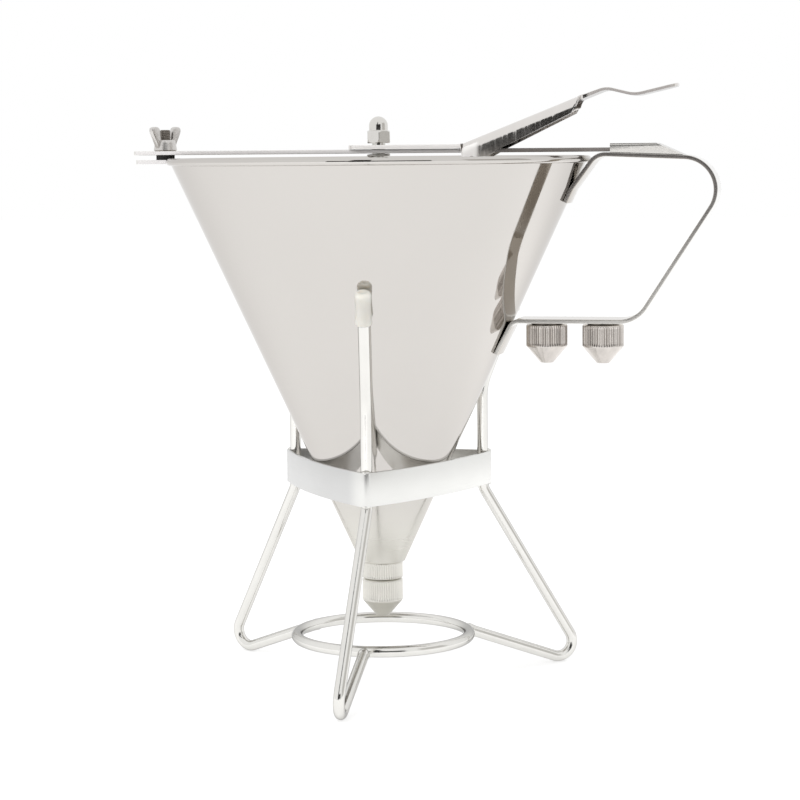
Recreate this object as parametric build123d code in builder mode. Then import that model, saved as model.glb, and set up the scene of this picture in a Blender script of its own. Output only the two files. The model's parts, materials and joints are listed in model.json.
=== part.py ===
from build123d import *
import os
from math import asin, atan, atan2, cos, pi, radians, sin, sqrt, tan

# Batter dispenser: a sheet steel funnel with a thumb lever that lifts a valve rod,
# hung in a three-legged wire stand. Millimetres. The origin is on the table under
# the axis of the funnel, +Z is up and +X points along the handle.

# Funnel
rim_d = 190.0
bead_d = 3.2
bead_z = 235.0
outlet_d = 20.6
outlet_z = 53.6
sheet = 1.0

# Outlet socket, nozzles and their threads
collar_d = 18.4
collar_h = 8.0
lip_h = 4.0
weld_gap = 0.05
thread_d = 13.8
thread_h = 8.2
thread_clearance = 0.08
flow_bore = 9.0
seat_wall = 1.2
seat_angle = 45.0
nozzle_d = 18.3
nozzle_grip_h = 10.4
nozzle_cone_h = 6.8
nozzle_tip_d = 5.5
nozzle_land_h = 1.6
nozzle_bore_h = 9.0
nozzle_gap = 0.2
nozzle_holes = {"nozzle": 4.0, "spare_nozzle_inner": 3.0, "spare_nozzle_outer": 5.0}
edge_break = 0.5

# Handle strip
strip_t = 1.8
handle_w = 20.5
flange_top_len = 6.0
flange_top_drop = 13.0
handle_top_rise = 2.1
handle_top_out = 3.9
handle_top_drop = 2.4
handle_reach = 58.0
handle_end_bend = 14.2
handle_lean = 32.8
handle_drop = 71.3
handle_low_bend = 14.0
handle_shoulder_bend = 8.0
handle_foot_bend = 4.0
flange_low_drop = 14.7
spare_out = 15.1
spare_pitch = 25.1
spare_gap = 0.8
boss_h = 7.6

# Bridge bar, its keeper and its clamp
bar_w = 16.0
bar_t = 1.8
bar_rise = 3.1
bar_past_rim = 15.0
bar_overhang = 13.3
bar_corner = 3.0
lug_reach = 12.3
lug_t = 1.8
stud_d = 5.0
stud_out = 4.5
stud_over_bar = 9.6
stud_clearance = 0.15
spacer_d = 8.4
keeper_out = 10.0
keeper_flat = 20.0
keeper_taper = 12.0
keeper_wall = 1.5
keeper_clearance = 0.3
keeper_round = 1.2
wing_hub_d = 10.6
wing_hub_top_d = 8.6
wing_hub_h = 5.0
wing_span = 18.6
wing_h = 11.0
wing_t = 2.6
wing_lobe_h = 2.4
wing_lobe_w = 5.2
wing_round = 1.2
wing_turn = 62.0
seat_gap = 0.1

# Lever and its hinge
lever_t = 1.8
lever_rest_gap = 0.1
lever_front = 12.5
lever_front_corner = 5.0
lever_bend_x = 38.7
lever_rise = 21.5
lever_end_x = 92.0
lever_swing = 14.0
lever_bend_r = 10.0
flange_gap = 0.5
flange_start_x = 57.0
flange_end_back = 4.0
flange_end_drop = 7.0
thumb_w = 16.0
thumb_crest = (10.8, 4.1)
thumb_dip = (23.5, 1.0)
thumb_tip = (42.0, 5.3)
thumb_crest_r = 9.0
thumb_dip_r = 14.0
thumb_corner = 5.0
lever_round = 4.0
pivot_x = 44.0
pin_d = 3.0
pin_clearance = 0.05
press_clearance = 0.02
barrel_d = 6.0
barrel_end_gap = 0.7
ear_r = 4.3

# Valve rod, spring and cap nut
rod_d = 6.0
rod_clearance = 0.06
slot_clearance = 0.4
plug_d = 14.0
plug_grip_h = 7.0
plug_nose_h = 2.0
plug_gap = 0.3
plug_socket_h = 5.0
nut_across = 10.0
nut_turn = -16.0
nut_hex_h = 5.6
nut_dome_d = 8.5
nut_h = 12.0
nut_rest_gap = 0.8
nut_corner_h = 0.8
nut_thread_h = 8.0
spring_wire = 1.1
spring_d = 10.6
spring_turns = 9
spring_pitch = 3.7
spring_seat_gap = 0.1
stop_d = 11.0
stop_h = 6.0

# Wire stand
wire_d = 5.0
post_r = 50.5
band_bow = 5.0
band_t = 1.4
band_h = 15.0
band_clearance = 0.2
seat_clearance = 0.2
leg_names = ("front", "right", "left")
front_leg_turn = -90.0
stand_twist = 4.5
tip_twist = 1.8
post_bend = 25.0
leg_bend = 10.0
leg_drop = 1.5
foot_r = 86.5
foot_bend = 7.0
ring_r = 39.4
ring_z = 19.3
cap_d = 7.5
cap_len = 15.5
cap_end = 1.5
cap_round = 1.8
cap_clearance = 0.3
post_tip_z = 179.0

# Sizes that follow from the ones above
bead_r = bead_d / 2
rim_r = rim_d / 2
bead_centre_r = rim_r - bead_r
outlet_r = outlet_d / 2
cone_slope = (bead_centre_r - outlet_r) / (bead_z - outlet_z)
cone_angle = atan(cone_slope)
sheet_across = sheet / cos(cone_angle)
strip_stand_off = (strip_t / 2 + seat_gap) / cos(cone_angle)
handle_top_x = rim_r + handle_top_out
handle_end_x = rim_r + handle_reach
bar_reach = rim_r + bar_past_rim
keeper_x = rim_r + keeper_out
stud_x = -rim_r - stud_out
handle_top_z = bead_z + handle_top_rise
handle_low_z = bead_z - handle_drop
flange_top_high_z = bead_z - flange_top_drop
flange_top_low_z = flange_top_high_z - flange_top_len
flange_low_z = handle_low_z - flange_low_drop
bar_z = bead_z + bar_rise
collar_z = outlet_z - collar_h
nozzle_h = nozzle_grip_h + nozzle_cone_h
nozzle_bore_r = thread_d / 2 + thread_clearance
bar_top = bar_z + bar_t
stud_top = bar_top + stud_over_bar
handle_low_face = handle_low_z - strip_t / 2
lever_w = bar_w + 2 * (flange_gap + lever_t)
lever_z = bar_top + lever_rest_gap
lever_top = lever_z + lever_t
pivot_z = bar_z - barrel_d / 2
nut_z = lever_top + nut_rest_gap
rod_top = nut_z + nut_thread_h
spring_h = spring_turns * spring_pitch
spring_top = bar_z - spring_seat_gap - spring_wire / 2
spring_low = spring_top - spring_h
stop_z = spring_low - spring_wire / 2 - spring_seat_gap - stop_h
wire_r = wire_d / 2
leg_turn = 360 / len(leg_names)
foot_angles = {name: front_leg_turn + i * leg_turn for i, name in enumerate(leg_names)}
post_angles = {name: angle + stand_twist for name, angle in foot_angles.items()}
cap_r = cap_d / 2

os.makedirs("parts", exist_ok=True)


def cone_r(z):
    """Outer radius of the funnel at height z."""
    return outlet_r + (z - outlet_z) * cone_slope


def save(piece, label):
    """Name one piece and write it to its own file."""
    piece.label = label
    export_step(piece, f"parts/{label}.step")


def upright_plane(x, z):
    """A plane through (x, 0, z) whose x runs along the handle and whose y runs up."""
    return Plane(origin=(x, 0, z), x_dir=(1, 0, 0), z_dir=(0, -1, 0))


def radial_plane(angle):
    """A plane through the funnel's axis: its x points outwards and its y up."""
    a = radians(angle)
    return Plane(origin=(0, 0, 0), x_dir=(cos(a), sin(a), 0), z_dir=(sin(a), -cos(a), 0))


def bent_strip(points, radii, thickness, width):
    """A flat strip bent along a line in the XZ plane, centred on that plane."""
    with BuildPart() as strip:
        with BuildSketch(Plane.XZ):
            with BuildLine():
                FilletPolyline(*points, radius=radii)
            trace(line_width=thickness)
        extrude(amount=width / 2, both=True)
    return strip.part


# Funnel cone with its rolled rim
with BuildPart() as funnel_cone:
    with BuildSketch(Plane.XZ):
        with BuildLine():
            Polyline(
                (outlet_r, outlet_z),
                (bead_centre_r, bead_z),
                (bead_centre_r - sheet_across, bead_z),
                (outlet_r - sheet_across, outlet_z),
                close=True,
            )
        make_face()
        with Locations((bead_centre_r, bead_z)):
            Circle(bead_r)
    revolve(axis=Axis.Z)
save(funnel_cone.part, "funnel_cone")

# Outlet socket: a turned collar with the valve seat above and the nozzle thread below
lip_top = outlet_z + lip_h
lip_r = outlet_r - sheet_across - weld_gap
lip_top_r = lip_r + lip_h * cone_slope
seat_top_r = lip_top_r - seat_wall
seat_slope = tan(radians(seat_angle))
seat_low_z = lip_top - (seat_top_r - flow_bore / 2) / seat_slope
with BuildPart() as outlet_socket:
    with BuildSketch(Plane.XZ):
        with BuildLine():
            Polyline(
                (flow_bore / 2, collar_z - thread_h),
                (thread_d / 2 - edge_break, collar_z - thread_h),
                (thread_d / 2, collar_z - thread_h + edge_break),
                (thread_d / 2, collar_z),
                (collar_d / 2 - edge_break, collar_z),
                (collar_d / 2, collar_z + edge_break),
                (collar_d / 2, outlet_z - edge_break),
                (lip_r, outlet_z),
                (lip_top_r, lip_top),
                (seat_top_r, lip_top),
                (flow_bore / 2, seat_low_z),
                close=True,
            )
        make_face()
    revolve(axis=Axis.Z)
save(outlet_socket.part, "outlet_socket")


def make_nozzle(x, top, hole_d):
    """One screw-on nozzle: grip ring, 45 degree nose, thread bore and outlet hole."""
    with BuildPart() as nozzle:
        with BuildSketch(upright_plane(x, top)):
            with BuildLine():
                Polyline(
                    (nozzle_bore_r, 0),
                    (nozzle_d / 2 - edge_break, 0),
                    (nozzle_d / 2, -edge_break),
                    (nozzle_d / 2, -nozzle_grip_h),
                    (nozzle_tip_d / 2, -nozzle_h),
                    (hole_d / 2, -nozzle_h),
                    (hole_d / 2, nozzle_land_h - nozzle_h),
                    (nozzle_bore_r, -nozzle_bore_h),
                    close=True,
                )
            make_face()
        revolve(axis=Axis((x, 0, top), (0, 0, 1)))
    return nozzle.part


spare_inner_x = cone_r(handle_low_z) + spare_out
spare_outer_x = spare_inner_x + spare_pitch
nozzle_places = {
    "nozzle": (0, collar_z - nozzle_gap),
    "spare_nozzle_inner": (spare_inner_x, handle_low_face - spare_gap),
    "spare_nozzle_outer": (spare_outer_x, handle_low_face - spare_gap),
}
for name, (x, top) in nozzle_places.items():
    save(make_nozzle(x, top, nozzle_holes[name]), name)

# Threaded bosses that carry the spare nozzles under the handle
boss_places = {"inner_nozzle_boss": spare_inner_x, "outer_nozzle_boss": spare_outer_x}
for name, x in boss_places.items():
    with BuildPart() as boss:
        with BuildSketch(Plane.XY.offset(handle_low_face)):
            with Locations((x, 0)):
                Circle(thread_d / 2)
        extrude(amount=-boss_h)
        chamfer(boss.faces().sort_by(Axis.Z)[0].edges(), length=edge_break)
    save(boss.part, name)

# Handle: one strip bent from the rim out and down and back to the cone
lean = radians(handle_lean)
drop = tan(radians(handle_top_drop))
half_turn = radians(90 + handle_lean - handle_top_drop) / 2
handle_corner_x = handle_end_x - strip_t / 2 + handle_end_bend * (tan(half_turn) - 1)
handle_corner_z = handle_top_z - drop * (handle_corner_x - handle_top_x)
handle_low_x = handle_corner_x - (handle_corner_z - handle_low_z) * tan(lean)
handle_points = [
    (cone_r(flange_top_low_z) + strip_stand_off, flange_top_low_z),
    (cone_r(flange_top_high_z) + strip_stand_off, flange_top_high_z),
    (handle_top_x, handle_top_z),
    (handle_corner_x, handle_corner_z),
    (handle_low_x, handle_low_z),
    (cone_r(handle_low_z) + strip_stand_off, handle_low_z),
    (cone_r(flange_low_z) + strip_stand_off, flange_low_z),
]
handle_radii = [
    handle_shoulder_bend,
    handle_shoulder_bend,
    handle_end_bend,
    handle_low_bend,
    handle_foot_bend,
]
save(bent_strip(handle_points, handle_radii, strip_t, handle_w), "handle")


def handle_face_z(x):
    """Height of the handle's upper face above its top run."""
    return handle_top_z + strip_t / 2 / cos(atan(drop)) - drop * (x - handle_top_x)


# Bridge bar across the mouth of the funnel
bar_left = stud_x - bar_overhang
with BuildPart() as bridge_bar:
    with BuildSketch(Plane.XY.offset(bar_z)):
        with Locations(((bar_left + bar_reach) / 2, 0)):
            RectangleRounded(bar_reach - bar_left, bar_w, bar_corner)
        Circle(rod_d / 2 + rod_clearance, mode=Mode.SUBTRACT)
        with Locations((stud_x, 0)):
            Circle(stud_d / 2 + stud_clearance, mode=Mode.SUBTRACT)
    extrude(amount=bar_t)
save(bridge_bar.part, "bridge_bar")

# Keeper: a sheet pocket on the handle that holds the free end of the bar
keeper_roof = bar_top + keeper_clearance
keeper_top = keeper_roof + keeper_wall
keeper_mid = keeper_x + keeper_flat
keeper_end = keeper_mid + keeper_taper
pocket_w = bar_w + 2 * keeper_clearance
keeper_w = pocket_w + 2 * keeper_wall
with BuildPart() as bridge_keeper:
    with BuildSketch(Plane.XZ):
        with BuildLine():
            Polyline(
                (keeper_x, handle_face_z(keeper_x)),
                (keeper_x, keeper_top),
                (keeper_mid, keeper_top),
                (keeper_end, handle_face_z(keeper_end)),
                close=True,
            )
        make_face()
    extrude(amount=keeper_w / 2, both=True)
    with BuildSketch(Plane.XZ):
        with BuildLine():
            Polyline(
                (keeper_x, handle_face_z(keeper_x)),
                (keeper_x, keeper_roof),
                (keeper_mid - keeper_wall, keeper_roof),
                (keeper_end - 2 * keeper_wall, handle_face_z(keeper_end - 2 * keeper_wall)),
                close=True,
            )
        make_face()
    extrude(amount=pocket_w / 2, both=True, mode=Mode.SUBTRACT)
    roof_edges = bridge_keeper.edges().filter_by(Axis.X).group_by(Axis.Z)[-1]
    fillet(roof_edges, radius=keeper_round)
save(bridge_keeper.part, "bridge_keeper")

# Rim lug, its stud, the rubber spacer and the wing nut that clamp the bar
lug_left = stud_x - lug_reach
lug_bottom = bead_z - lug_t / 2
lug_top = bead_z + lug_t / 2
with BuildPart() as rim_lug:
    with BuildSketch(Plane.XY.offset(lug_bottom)):
        with Locations(((lug_left - bead_centre_r) / 2 + bar_corner, 0)):
            RectangleRounded(-lug_left - bead_centre_r + 2 * bar_corner, bar_w, bar_corner)
        Circle(rim_r + weld_gap, mode=Mode.SUBTRACT)
        with Locations((stud_x, 0)):
            Circle(stud_d / 2 + press_clearance, mode=Mode.SUBTRACT)
    extrude(amount=lug_t)
save(rim_lug.part, "rim_lug")

with BuildPart() as clamp_stud:
    with BuildSketch(Plane.XY.offset(lug_bottom)):
        with Locations((stud_x, 0)):
            Circle(stud_d / 2)
    extrude(amount=stud_top - lug_bottom)
    chamfer(clamp_stud.faces().sort_by(Axis.Z)[-1].edges(), length=edge_break)
save(clamp_stud.part, "clamp_stud")

with BuildPart() as spacer_ring:
    with BuildSketch(Plane.XY.offset(lug_top)):
        with Locations((stud_x, 0)):
            Circle(spacer_d / 2)
            Circle(stud_d / 2 + stud_clearance, mode=Mode.SUBTRACT)
    extrude(amount=bar_z - lug_top)
save(spacer_ring.part, "spacer_ring")

wing_a = radians(wing_turn)
wing_plane = Plane(
    origin=(stud_x, 0, bar_top),
    x_dir=(cos(wing_a), sin(wing_a), 0),
    z_dir=(sin(wing_a), -cos(wing_a), 0),
)
wing_root = stud_d / 2 + thread_clearance
with BuildPart() as wing_nut:
    with BuildSketch(wing_plane) as wings:
        with BuildLine():
            Polyline(
                (wing_root, edge_break),
                (wing_hub_d / 2, edge_break),
                (wing_span / 2, wing_h - wing_lobe_h),
                (wing_span / 2 - edge_break, wing_h),
                (wing_span / 2 - wing_lobe_w, wing_h),
                (wing_hub_top_d / 2 - edge_break, wing_hub_h),
                (wing_root, wing_hub_h),
                close=True,
            )
        make_face()
        mirror(about=Plane.YZ)
        fillet(wings.vertices().group_by(Axis.Y)[-1], radius=wing_round)
    extrude(amount=wing_t / 2, both=True)
    with BuildSketch(wing_plane):
        with BuildLine():
            Polyline(
                (0, 0),
                (wing_hub_d / 2 - edge_break, 0),
                (wing_hub_d / 2, edge_break),
                (wing_hub_top_d / 2, wing_hub_h),
                (0, wing_hub_h),
                close=True,
            )
        make_face()
    revolve(axis=Axis((stud_x, 0, bar_top), (0, 0, 1)))
    with BuildSketch(Plane.XY.offset(bar_top)):
        with Locations((stud_x, 0)):
            Circle(wing_root)
    extrude(amount=wing_h, mode=Mode.SUBTRACT)
save(wing_nut.part, "wing_nut")

# Hinge barrel under the bar and the pin through it
with BuildPart() as hinge_barrel:
    with BuildSketch(upright_plane(pivot_x, pivot_z)):
        Circle(barrel_d / 2)
        with Locations((0, barrel_d / 4)):
            Rectangle(barrel_d, barrel_d / 2)
        Circle(pin_d / 2 + pin_clearance, mode=Mode.SUBTRACT)
    extrude(amount=bar_w / 2 + flange_gap - barrel_end_gap, both=True)
save(hinge_barrel.part, "hinge_barrel")

with BuildPart() as pivot_pin:
    with BuildSketch(upright_plane(pivot_x, pivot_z)):
        Circle(pin_d / 2)
    extrude(amount=lever_w / 2, both=True)
save(pivot_pin.part, "pivot_pin")

# Lever: a pressed channel with a flat tongue in front and a thumb strip behind
rise = radians(lever_rise)
lever_mid = lever_z + lever_t / 2
swing = radians(lever_swing)
tongue_arm = lever_mid - pivot_z
rod_shift = (pivot_x + tongue_arm * sin(swing)) / cos(swing) - pivot_x
slot_r = rod_d / 2 + slot_clearance


def lever_line_z(x):
    """Height of the middle of the lever's sloping run."""
    return lever_mid + (x - lever_bend_x) * tan(rise)


lever_end_z = lever_line_z(lever_end_x)
under_drop = lever_t / 2 / cos(rise)
slope_run = (lever_end_x - lever_bend_x) / cos(rise) - lever_bend_r * tan(rise / 2)
slope_end = Plane(
    origin=(lever_end_x, 0, lever_end_z), x_dir=(0, 1, 0), z_dir=(cos(rise), 0, sin(rise))
)
ear_low_z = pivot_z - 2 * ear_r
past_end_x = lever_end_x + lever_t
thumb_points = [(lever_end_x - lever_t, lever_line_z(lever_end_x - lever_t))]
thumb_points += [(lever_end_x + x, lever_end_z + z) for x, z in (thumb_crest, thumb_dip, thumb_tip)]
with BuildPart() as lever:
    add(bent_strip(
        [(-lever_front, lever_mid), (lever_bend_x, lever_mid), (lever_end_x, lever_end_z)],
        [lever_bend_r],
        lever_t,
        lever_w,
    ))
    tongue_corners = lever.edges().filter_by(Axis.Z).group_by(Axis.X)[0]
    fillet(tongue_corners, radius=lever_front_corner)
    with BuildSketch(Plane.XZ):
        with BuildLine():
            Polyline(
                (lever_bend_x, lever_mid),
                (lever_end_x, lever_end_z),
                (lever_end_x - flange_end_back, lever_end_z - flange_end_drop),
                (flange_start_x, bar_top),
                (pivot_x + ear_r, pivot_z),
                (pivot_x - ear_r, pivot_z),
                close=True,
            )
        make_face()
        with Locations((pivot_x, pivot_z)):
            Circle(ear_r)
    extrude(amount=lever_w / 2, both=True)
    with BuildSketch(Plane.XZ):
        with BuildLine():
            Polyline(
                (lever_bend_x - ear_r, lever_z),
                (lever_bend_x, lever_line_z(lever_bend_x) - under_drop),
                (past_end_x, lever_line_z(past_end_x) - under_drop),
                (past_end_x, ear_low_z),
                (lever_bend_x - ear_r, ear_low_z),
                close=True,
            )
        make_face()
    extrude(amount=lever_w / 2 - lever_t, both=True, mode=Mode.SUBTRACT)
    with BuildSketch(slope_end):
        with Locations((0, lever_t / 2)):
            Rectangle(lever_w + lever_round, 2 * lever_round)
        with Locations((0, lever_t / 2 - 2 * lever_round)):
            RectangleRounded(lever_w, 4 * lever_round, lever_round, mode=Mode.SUBTRACT)
    extrude(amount=-slope_run, mode=Mode.SUBTRACT)
    with BuildSketch(upright_plane(pivot_x, pivot_z)):
        Circle(pin_d / 2 + press_clearance)
    extrude(amount=lever_w, both=True, mode=Mode.SUBTRACT)
    add(bent_strip(thumb_points, [thumb_crest_r, thumb_dip_r], lever_t, thumb_w))
    thumb_ends = lever.faces().sort_by(Axis.X)[-1].edges().filter_by(Axis.Y, reverse=True)
    fillet(thumb_ends, radius=thumb_corner)
    with BuildSketch(Plane.XY.offset(lever_z - lever_t)):
        with Locations((-rod_shift / 2, 0)):
            SlotCenterToCenter(rod_shift, 2 * slot_r)
    extrude(amount=3 * lever_t, mode=Mode.SUBTRACT)
save(lever.part, "lever")

# Valve rod with its plug, stop collar and cap nut
plug_low_r = flow_bore / 2 - plug_gap
plug_wide_r = plug_d / 2
plug_lift = plug_gap / sin(radians(seat_angle))
plug_face_z = seat_low_z + plug_lift - (flow_bore / 2 - plug_low_r) / seat_slope
plug_shoulder_z = plug_face_z + (plug_wide_r - plug_low_r) / seat_slope
plug_top = plug_shoulder_z + plug_grip_h
with BuildPart() as valve_plug:
    with BuildSketch(Plane.XZ):
        with BuildLine():
            Polyline(
                (0, plug_face_z - plug_nose_h),
                (plug_low_r - edge_break, plug_face_z - plug_nose_h),
                (plug_low_r, plug_face_z - plug_nose_h + edge_break),
                (plug_low_r, plug_face_z),
                (plug_wide_r, plug_shoulder_z),
                (plug_wide_r, plug_shoulder_z + edge_break),
                (rod_d / 2 + 2 * edge_break, plug_top),
                (rod_d / 2 + press_clearance, plug_top),
                (rod_d / 2 + press_clearance, plug_top - plug_socket_h),
                (0, plug_top - plug_socket_h),
                close=True,
            )
        make_face()
    revolve(axis=Axis.Z)
save(valve_plug.part, "valve_plug")

with BuildPart() as valve_rod:
    with BuildSketch(Plane.XY.offset(plug_top - plug_socket_h)):
        Circle(rod_d / 2)
    extrude(amount=rod_top - plug_top + plug_socket_h)
    chamfer(valve_rod.edges().filter_by(GeomType.CIRCLE), length=edge_break)
save(valve_rod.part, "valve_rod")

with BuildPart() as stop_collar:
    with BuildSketch(Plane.XY.offset(stop_z)):
        Circle(stop_d / 2)
        Circle(rod_d / 2 + press_clearance, mode=Mode.SUBTRACT)
    extrude(amount=stop_h)
    outer_edges = stop_collar.edges().filter_by(GeomType.CIRCLE).sort_by(SortBy.RADIUS)[-2:]
    chamfer(outer_edges, length=edge_break)
save(stop_collar.part, "stop_collar")

dome_r = nut_dome_d / 2
nut_corner_r = nut_across / 2 / cos(radians(30)) + edge_break
with BuildPart() as cap_nut:
    with BuildSketch(Plane.XY.offset(nut_z)):
        RegularPolygon(nut_across / 2, side_count=6, major_radius=False, rotation=nut_turn)
    extrude(amount=nut_hex_h)
    with BuildSketch(Plane.XZ):
        with BuildLine():
            Polyline(
                (0, nut_z),
                (nut_across / 2, nut_z),
                (nut_corner_r, nut_z + nut_corner_h),
                (nut_corner_r, nut_z + nut_hex_h - nut_corner_h),
                (nut_across / 2, nut_z + nut_hex_h),
                (0, nut_z + nut_hex_h),
                close=True,
            )
        make_face()
    revolve(axis=Axis.Z, mode=Mode.INTERSECT)
    with BuildSketch(Plane.XZ):
        with BuildLine():
            Line((0, nut_z), (dome_r, nut_z))
            Line((dome_r, nut_z), (dome_r, nut_z + nut_h - dome_r))
            CenterArc((0, nut_z + nut_h - dome_r), dome_r, 0, 90)
            Line((0, nut_z + nut_h), (0, nut_z))
        make_face()
    revolve(axis=Axis.Z)
    with BuildSketch(Plane.XY.offset(nut_z)):
        Circle(rod_d / 2 + press_clearance)
    extrude(amount=nut_thread_h + edge_break, mode=Mode.SUBTRACT)
save(cap_nut.part, "cap_nut")


def helix_point(turn):
    """Point of the spring's centre line after a number of turns."""
    a = 2 * pi * turn
    r = (spring_d - spring_wire) / 2
    return Vector(r * cos(a), r * sin(a), spring_low + spring_pitch * turn)


def helix_tangent(turn):
    """Unit direction of the spring's centre line after a number of turns."""
    a = 2 * pi * turn
    r = (spring_d - spring_wire) / 2
    return Vector(-r * sin(a), r * cos(a), spring_pitch / (2 * pi)).normalized()


def biarc_joint(p, t, q, u):
    """Where two arcs meet that leave p along t and reach q along u."""
    v = q - p
    s = t + u
    k = 2 * (1 - t.dot(u))
    reach = (sqrt(v.dot(s) ** 2 + k * v.dot(v)) - v.dot(s)) / k
    return (p + t * reach + q - u * reach) * 0.5


# Return spring: one unbroken wire, each half turn a pair of arcs
half_turns = 2 * spring_turns
with BuildPart() as return_spring:
    with BuildLine() as coil:
        for i in range(half_turns):
            p, t = helix_point(i / 2), helix_tangent(i / 2)
            q, u = helix_point((i + 1) / 2), helix_tangent((i + 1) / 2)
            joint = biarc_joint(p, t, q, u)
            TangentArc(p, joint, tangent=t)
            TangentArc(q, joint, tangent=-u)
    with BuildSketch(Plane(origin=helix_point(0), z_dir=helix_tangent(0))):
        Circle(spring_wire / 2)
    sweep(path=coil.wire())
save(return_spring.part, "return_spring")

samples = [coil.wire() @ (i / (24 * spring_turns)) for i in range(24 * spring_turns + 1)]
apart = [
    (samples[i] - samples[j]).length
    for i in range(len(samples))
    for j in range(i + 12, len(samples))
]
print("return_spring least gap to itself", round(min(apart) - spring_wire, 3))

# Seat band: a bent steel strip round the three posts, its sides a little bowed
nest_r = wire_r + band_clearance
post_chord = post_r * sqrt(3)
corner_half = radians(30) + 2 * atan(2 * band_bow / post_chord)
band_corner_r = post_r + nest_r / sin(corner_half)
band_chord = band_corner_r * sqrt(3)
side_r = (band_chord**2 / 4 + band_bow**2) / (2 * band_bow)
band_reach = band_corner_r / 2 + band_bow
side_centre = side_r - band_reach
band_top = outlet_z + (band_reach - seat_clearance / cos(cone_angle) - outlet_r) / cone_slope
band_low = band_top - band_h


def polar_point(r, angle):
    """A point at a radius and an angle in degrees from the handle."""
    return (r * cos(radians(angle)), r * sin(radians(angle)))


def band_outline(grow):
    """The band's outline, moved outwards by an amount from its inner face."""
    reach = side_r + grow
    corner_r = (sqrt(4 * reach**2 - 3 * side_centre**2) - side_centre) / 2
    with BuildSketch(Plane.XY.offset(band_low)) as outline:
        with BuildLine():
            for angle in post_angles.values():
                start = polar_point(corner_r, angle)
                middle = polar_point(band_reach + grow, angle + leg_turn / 2)
                end = polar_point(corner_r, angle + leg_turn)
                ThreePointArc(start, middle, end)
        make_face()
        fillet(outline.vertices(), radius=nest_r + grow)
    return outline.sketch


with BuildPart() as seat_band:
    extrude(band_outline(band_t), amount=band_h)
    extrude(band_outline(0), amount=band_h, mode=Mode.SUBTRACT)
save(seat_band.part, "seat_band")

# Base ring
with BuildPart() as base_ring:
    with Locations((0, 0, ring_z)):
        Torus(ring_r, wire_r)
save(base_ring.part, "base_ring")


def foot_corner(start, goal):
    """Corner of the two straight runs that touch the outer side of the foot's bend."""
    cx, cz = foot_r, foot_bend + wire_r
    out = atan2(cx - start[0], start[1] - cz)
    out += asin(foot_bend / sqrt((cx - start[0]) ** 2 + (start[1] - cz) ** 2))
    back = atan2(goal[1] - cz, cx - goal[0])
    back += asin(foot_bend / sqrt((cx - goal[0]) ** 2 + (goal[1] - cz) ** 2))
    gap_x, gap_z = goal[0] - start[0], goal[1] - start[1]
    run = (gap_x * sin(back) + gap_z * cos(back)) / (sin(out) * sin(back) - cos(out) * cos(back))
    return (start[0] + run * sin(out), start[1] - run * cos(out)), back


# Three legs, each one bent wire from its tip past the band to the foot and the base ring.
# The posts are turned a little against the feet, as the band was welded on.
post_stand_off = (cap_r + cap_clearance) / cos(cone_angle)
post_bend_z = outlet_z + (post_r - post_stand_off - outlet_r) / cone_slope
leg_top = (post_r, band_low - leg_drop)
corner, back_angle = foot_corner(leg_top, (ring_r, ring_z))
ring_touch = wire_r + weld_gap
tip_r = cone_r(post_tip_z) + post_stand_off
post_points = [(post_r, post_bend_z), leg_top]
foot_points = [corner, (ring_r + ring_touch * cos(back_angle), ring_z - ring_touch * sin(back_angle))]
for name, angle in post_angles.items():
    leg_points = [(*polar_point(tip_r, angle + tip_twist), post_tip_z)]
    leg_points += [(*polar_point(r, angle), z) for r, z in post_points]
    leg_points += [(*polar_point(r, foot_angles[name]), z) for r, z in foot_points]
    with BuildPart() as leg:
        with BuildLine() as leg_line:
            FilletPolyline(*leg_points, radius=[post_bend, leg_bend, foot_bend])
        with BuildSketch(Plane(origin=leg_line.wire() @ 0, z_dir=leg_line.wire() % 0)):
            Circle(wire_r)
        sweep(path=leg_line.wire())
    save(leg.part, f"leg_{name}")

    tip = leg_line.wire() @ 0
    axis_dir = (leg_line.wire() % 0) * -1
    side = axis_dir.cross(radial_plane(angle).z_dir)
    with BuildPart() as cap:
        with BuildSketch(Plane(origin=tip, x_dir=side, z_dir=side.cross(axis_dir))):
            with BuildLine():
                Polyline(
                    (0, cap_end),
                    (0, press_clearance),
                    (wire_r + press_clearance, press_clearance),
                    (wire_r + press_clearance, cap_end - cap_len),
                    (cap_r, cap_end - cap_len),
                    (cap_r, cap_end - cap_round),
                )
                CenterArc((cap_r - cap_round, cap_end - cap_round), cap_round, 0, 90)
                Line((cap_r - cap_round, cap_end), (0, cap_end))
            make_face()
        revolve(axis=Axis(tip, axis_dir))
    save(cap.part, f"tip_cap_{name}")
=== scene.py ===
# %% [markdown]
# A batter dispenser: a polished steel funnel hangs in a wire stand, and a thumb lever on a bar across its
# mouth lifts a valve rod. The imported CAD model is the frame: it fixes every place and size. This lesson
# gives the object its looks. Pieces whose CAD shape is already right only get a finish. The others are
# modelled again here, in the same place, with the roundings, flutes and welds that a solid model leaves
# out.

# %% Load the frame
import json
from math import asin, atan, atan2, cos, degrees, pi, radians, sin, sqrt, tan

import bmesh
import bpy
from mathutils import Matrix, Vector, noise


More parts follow.
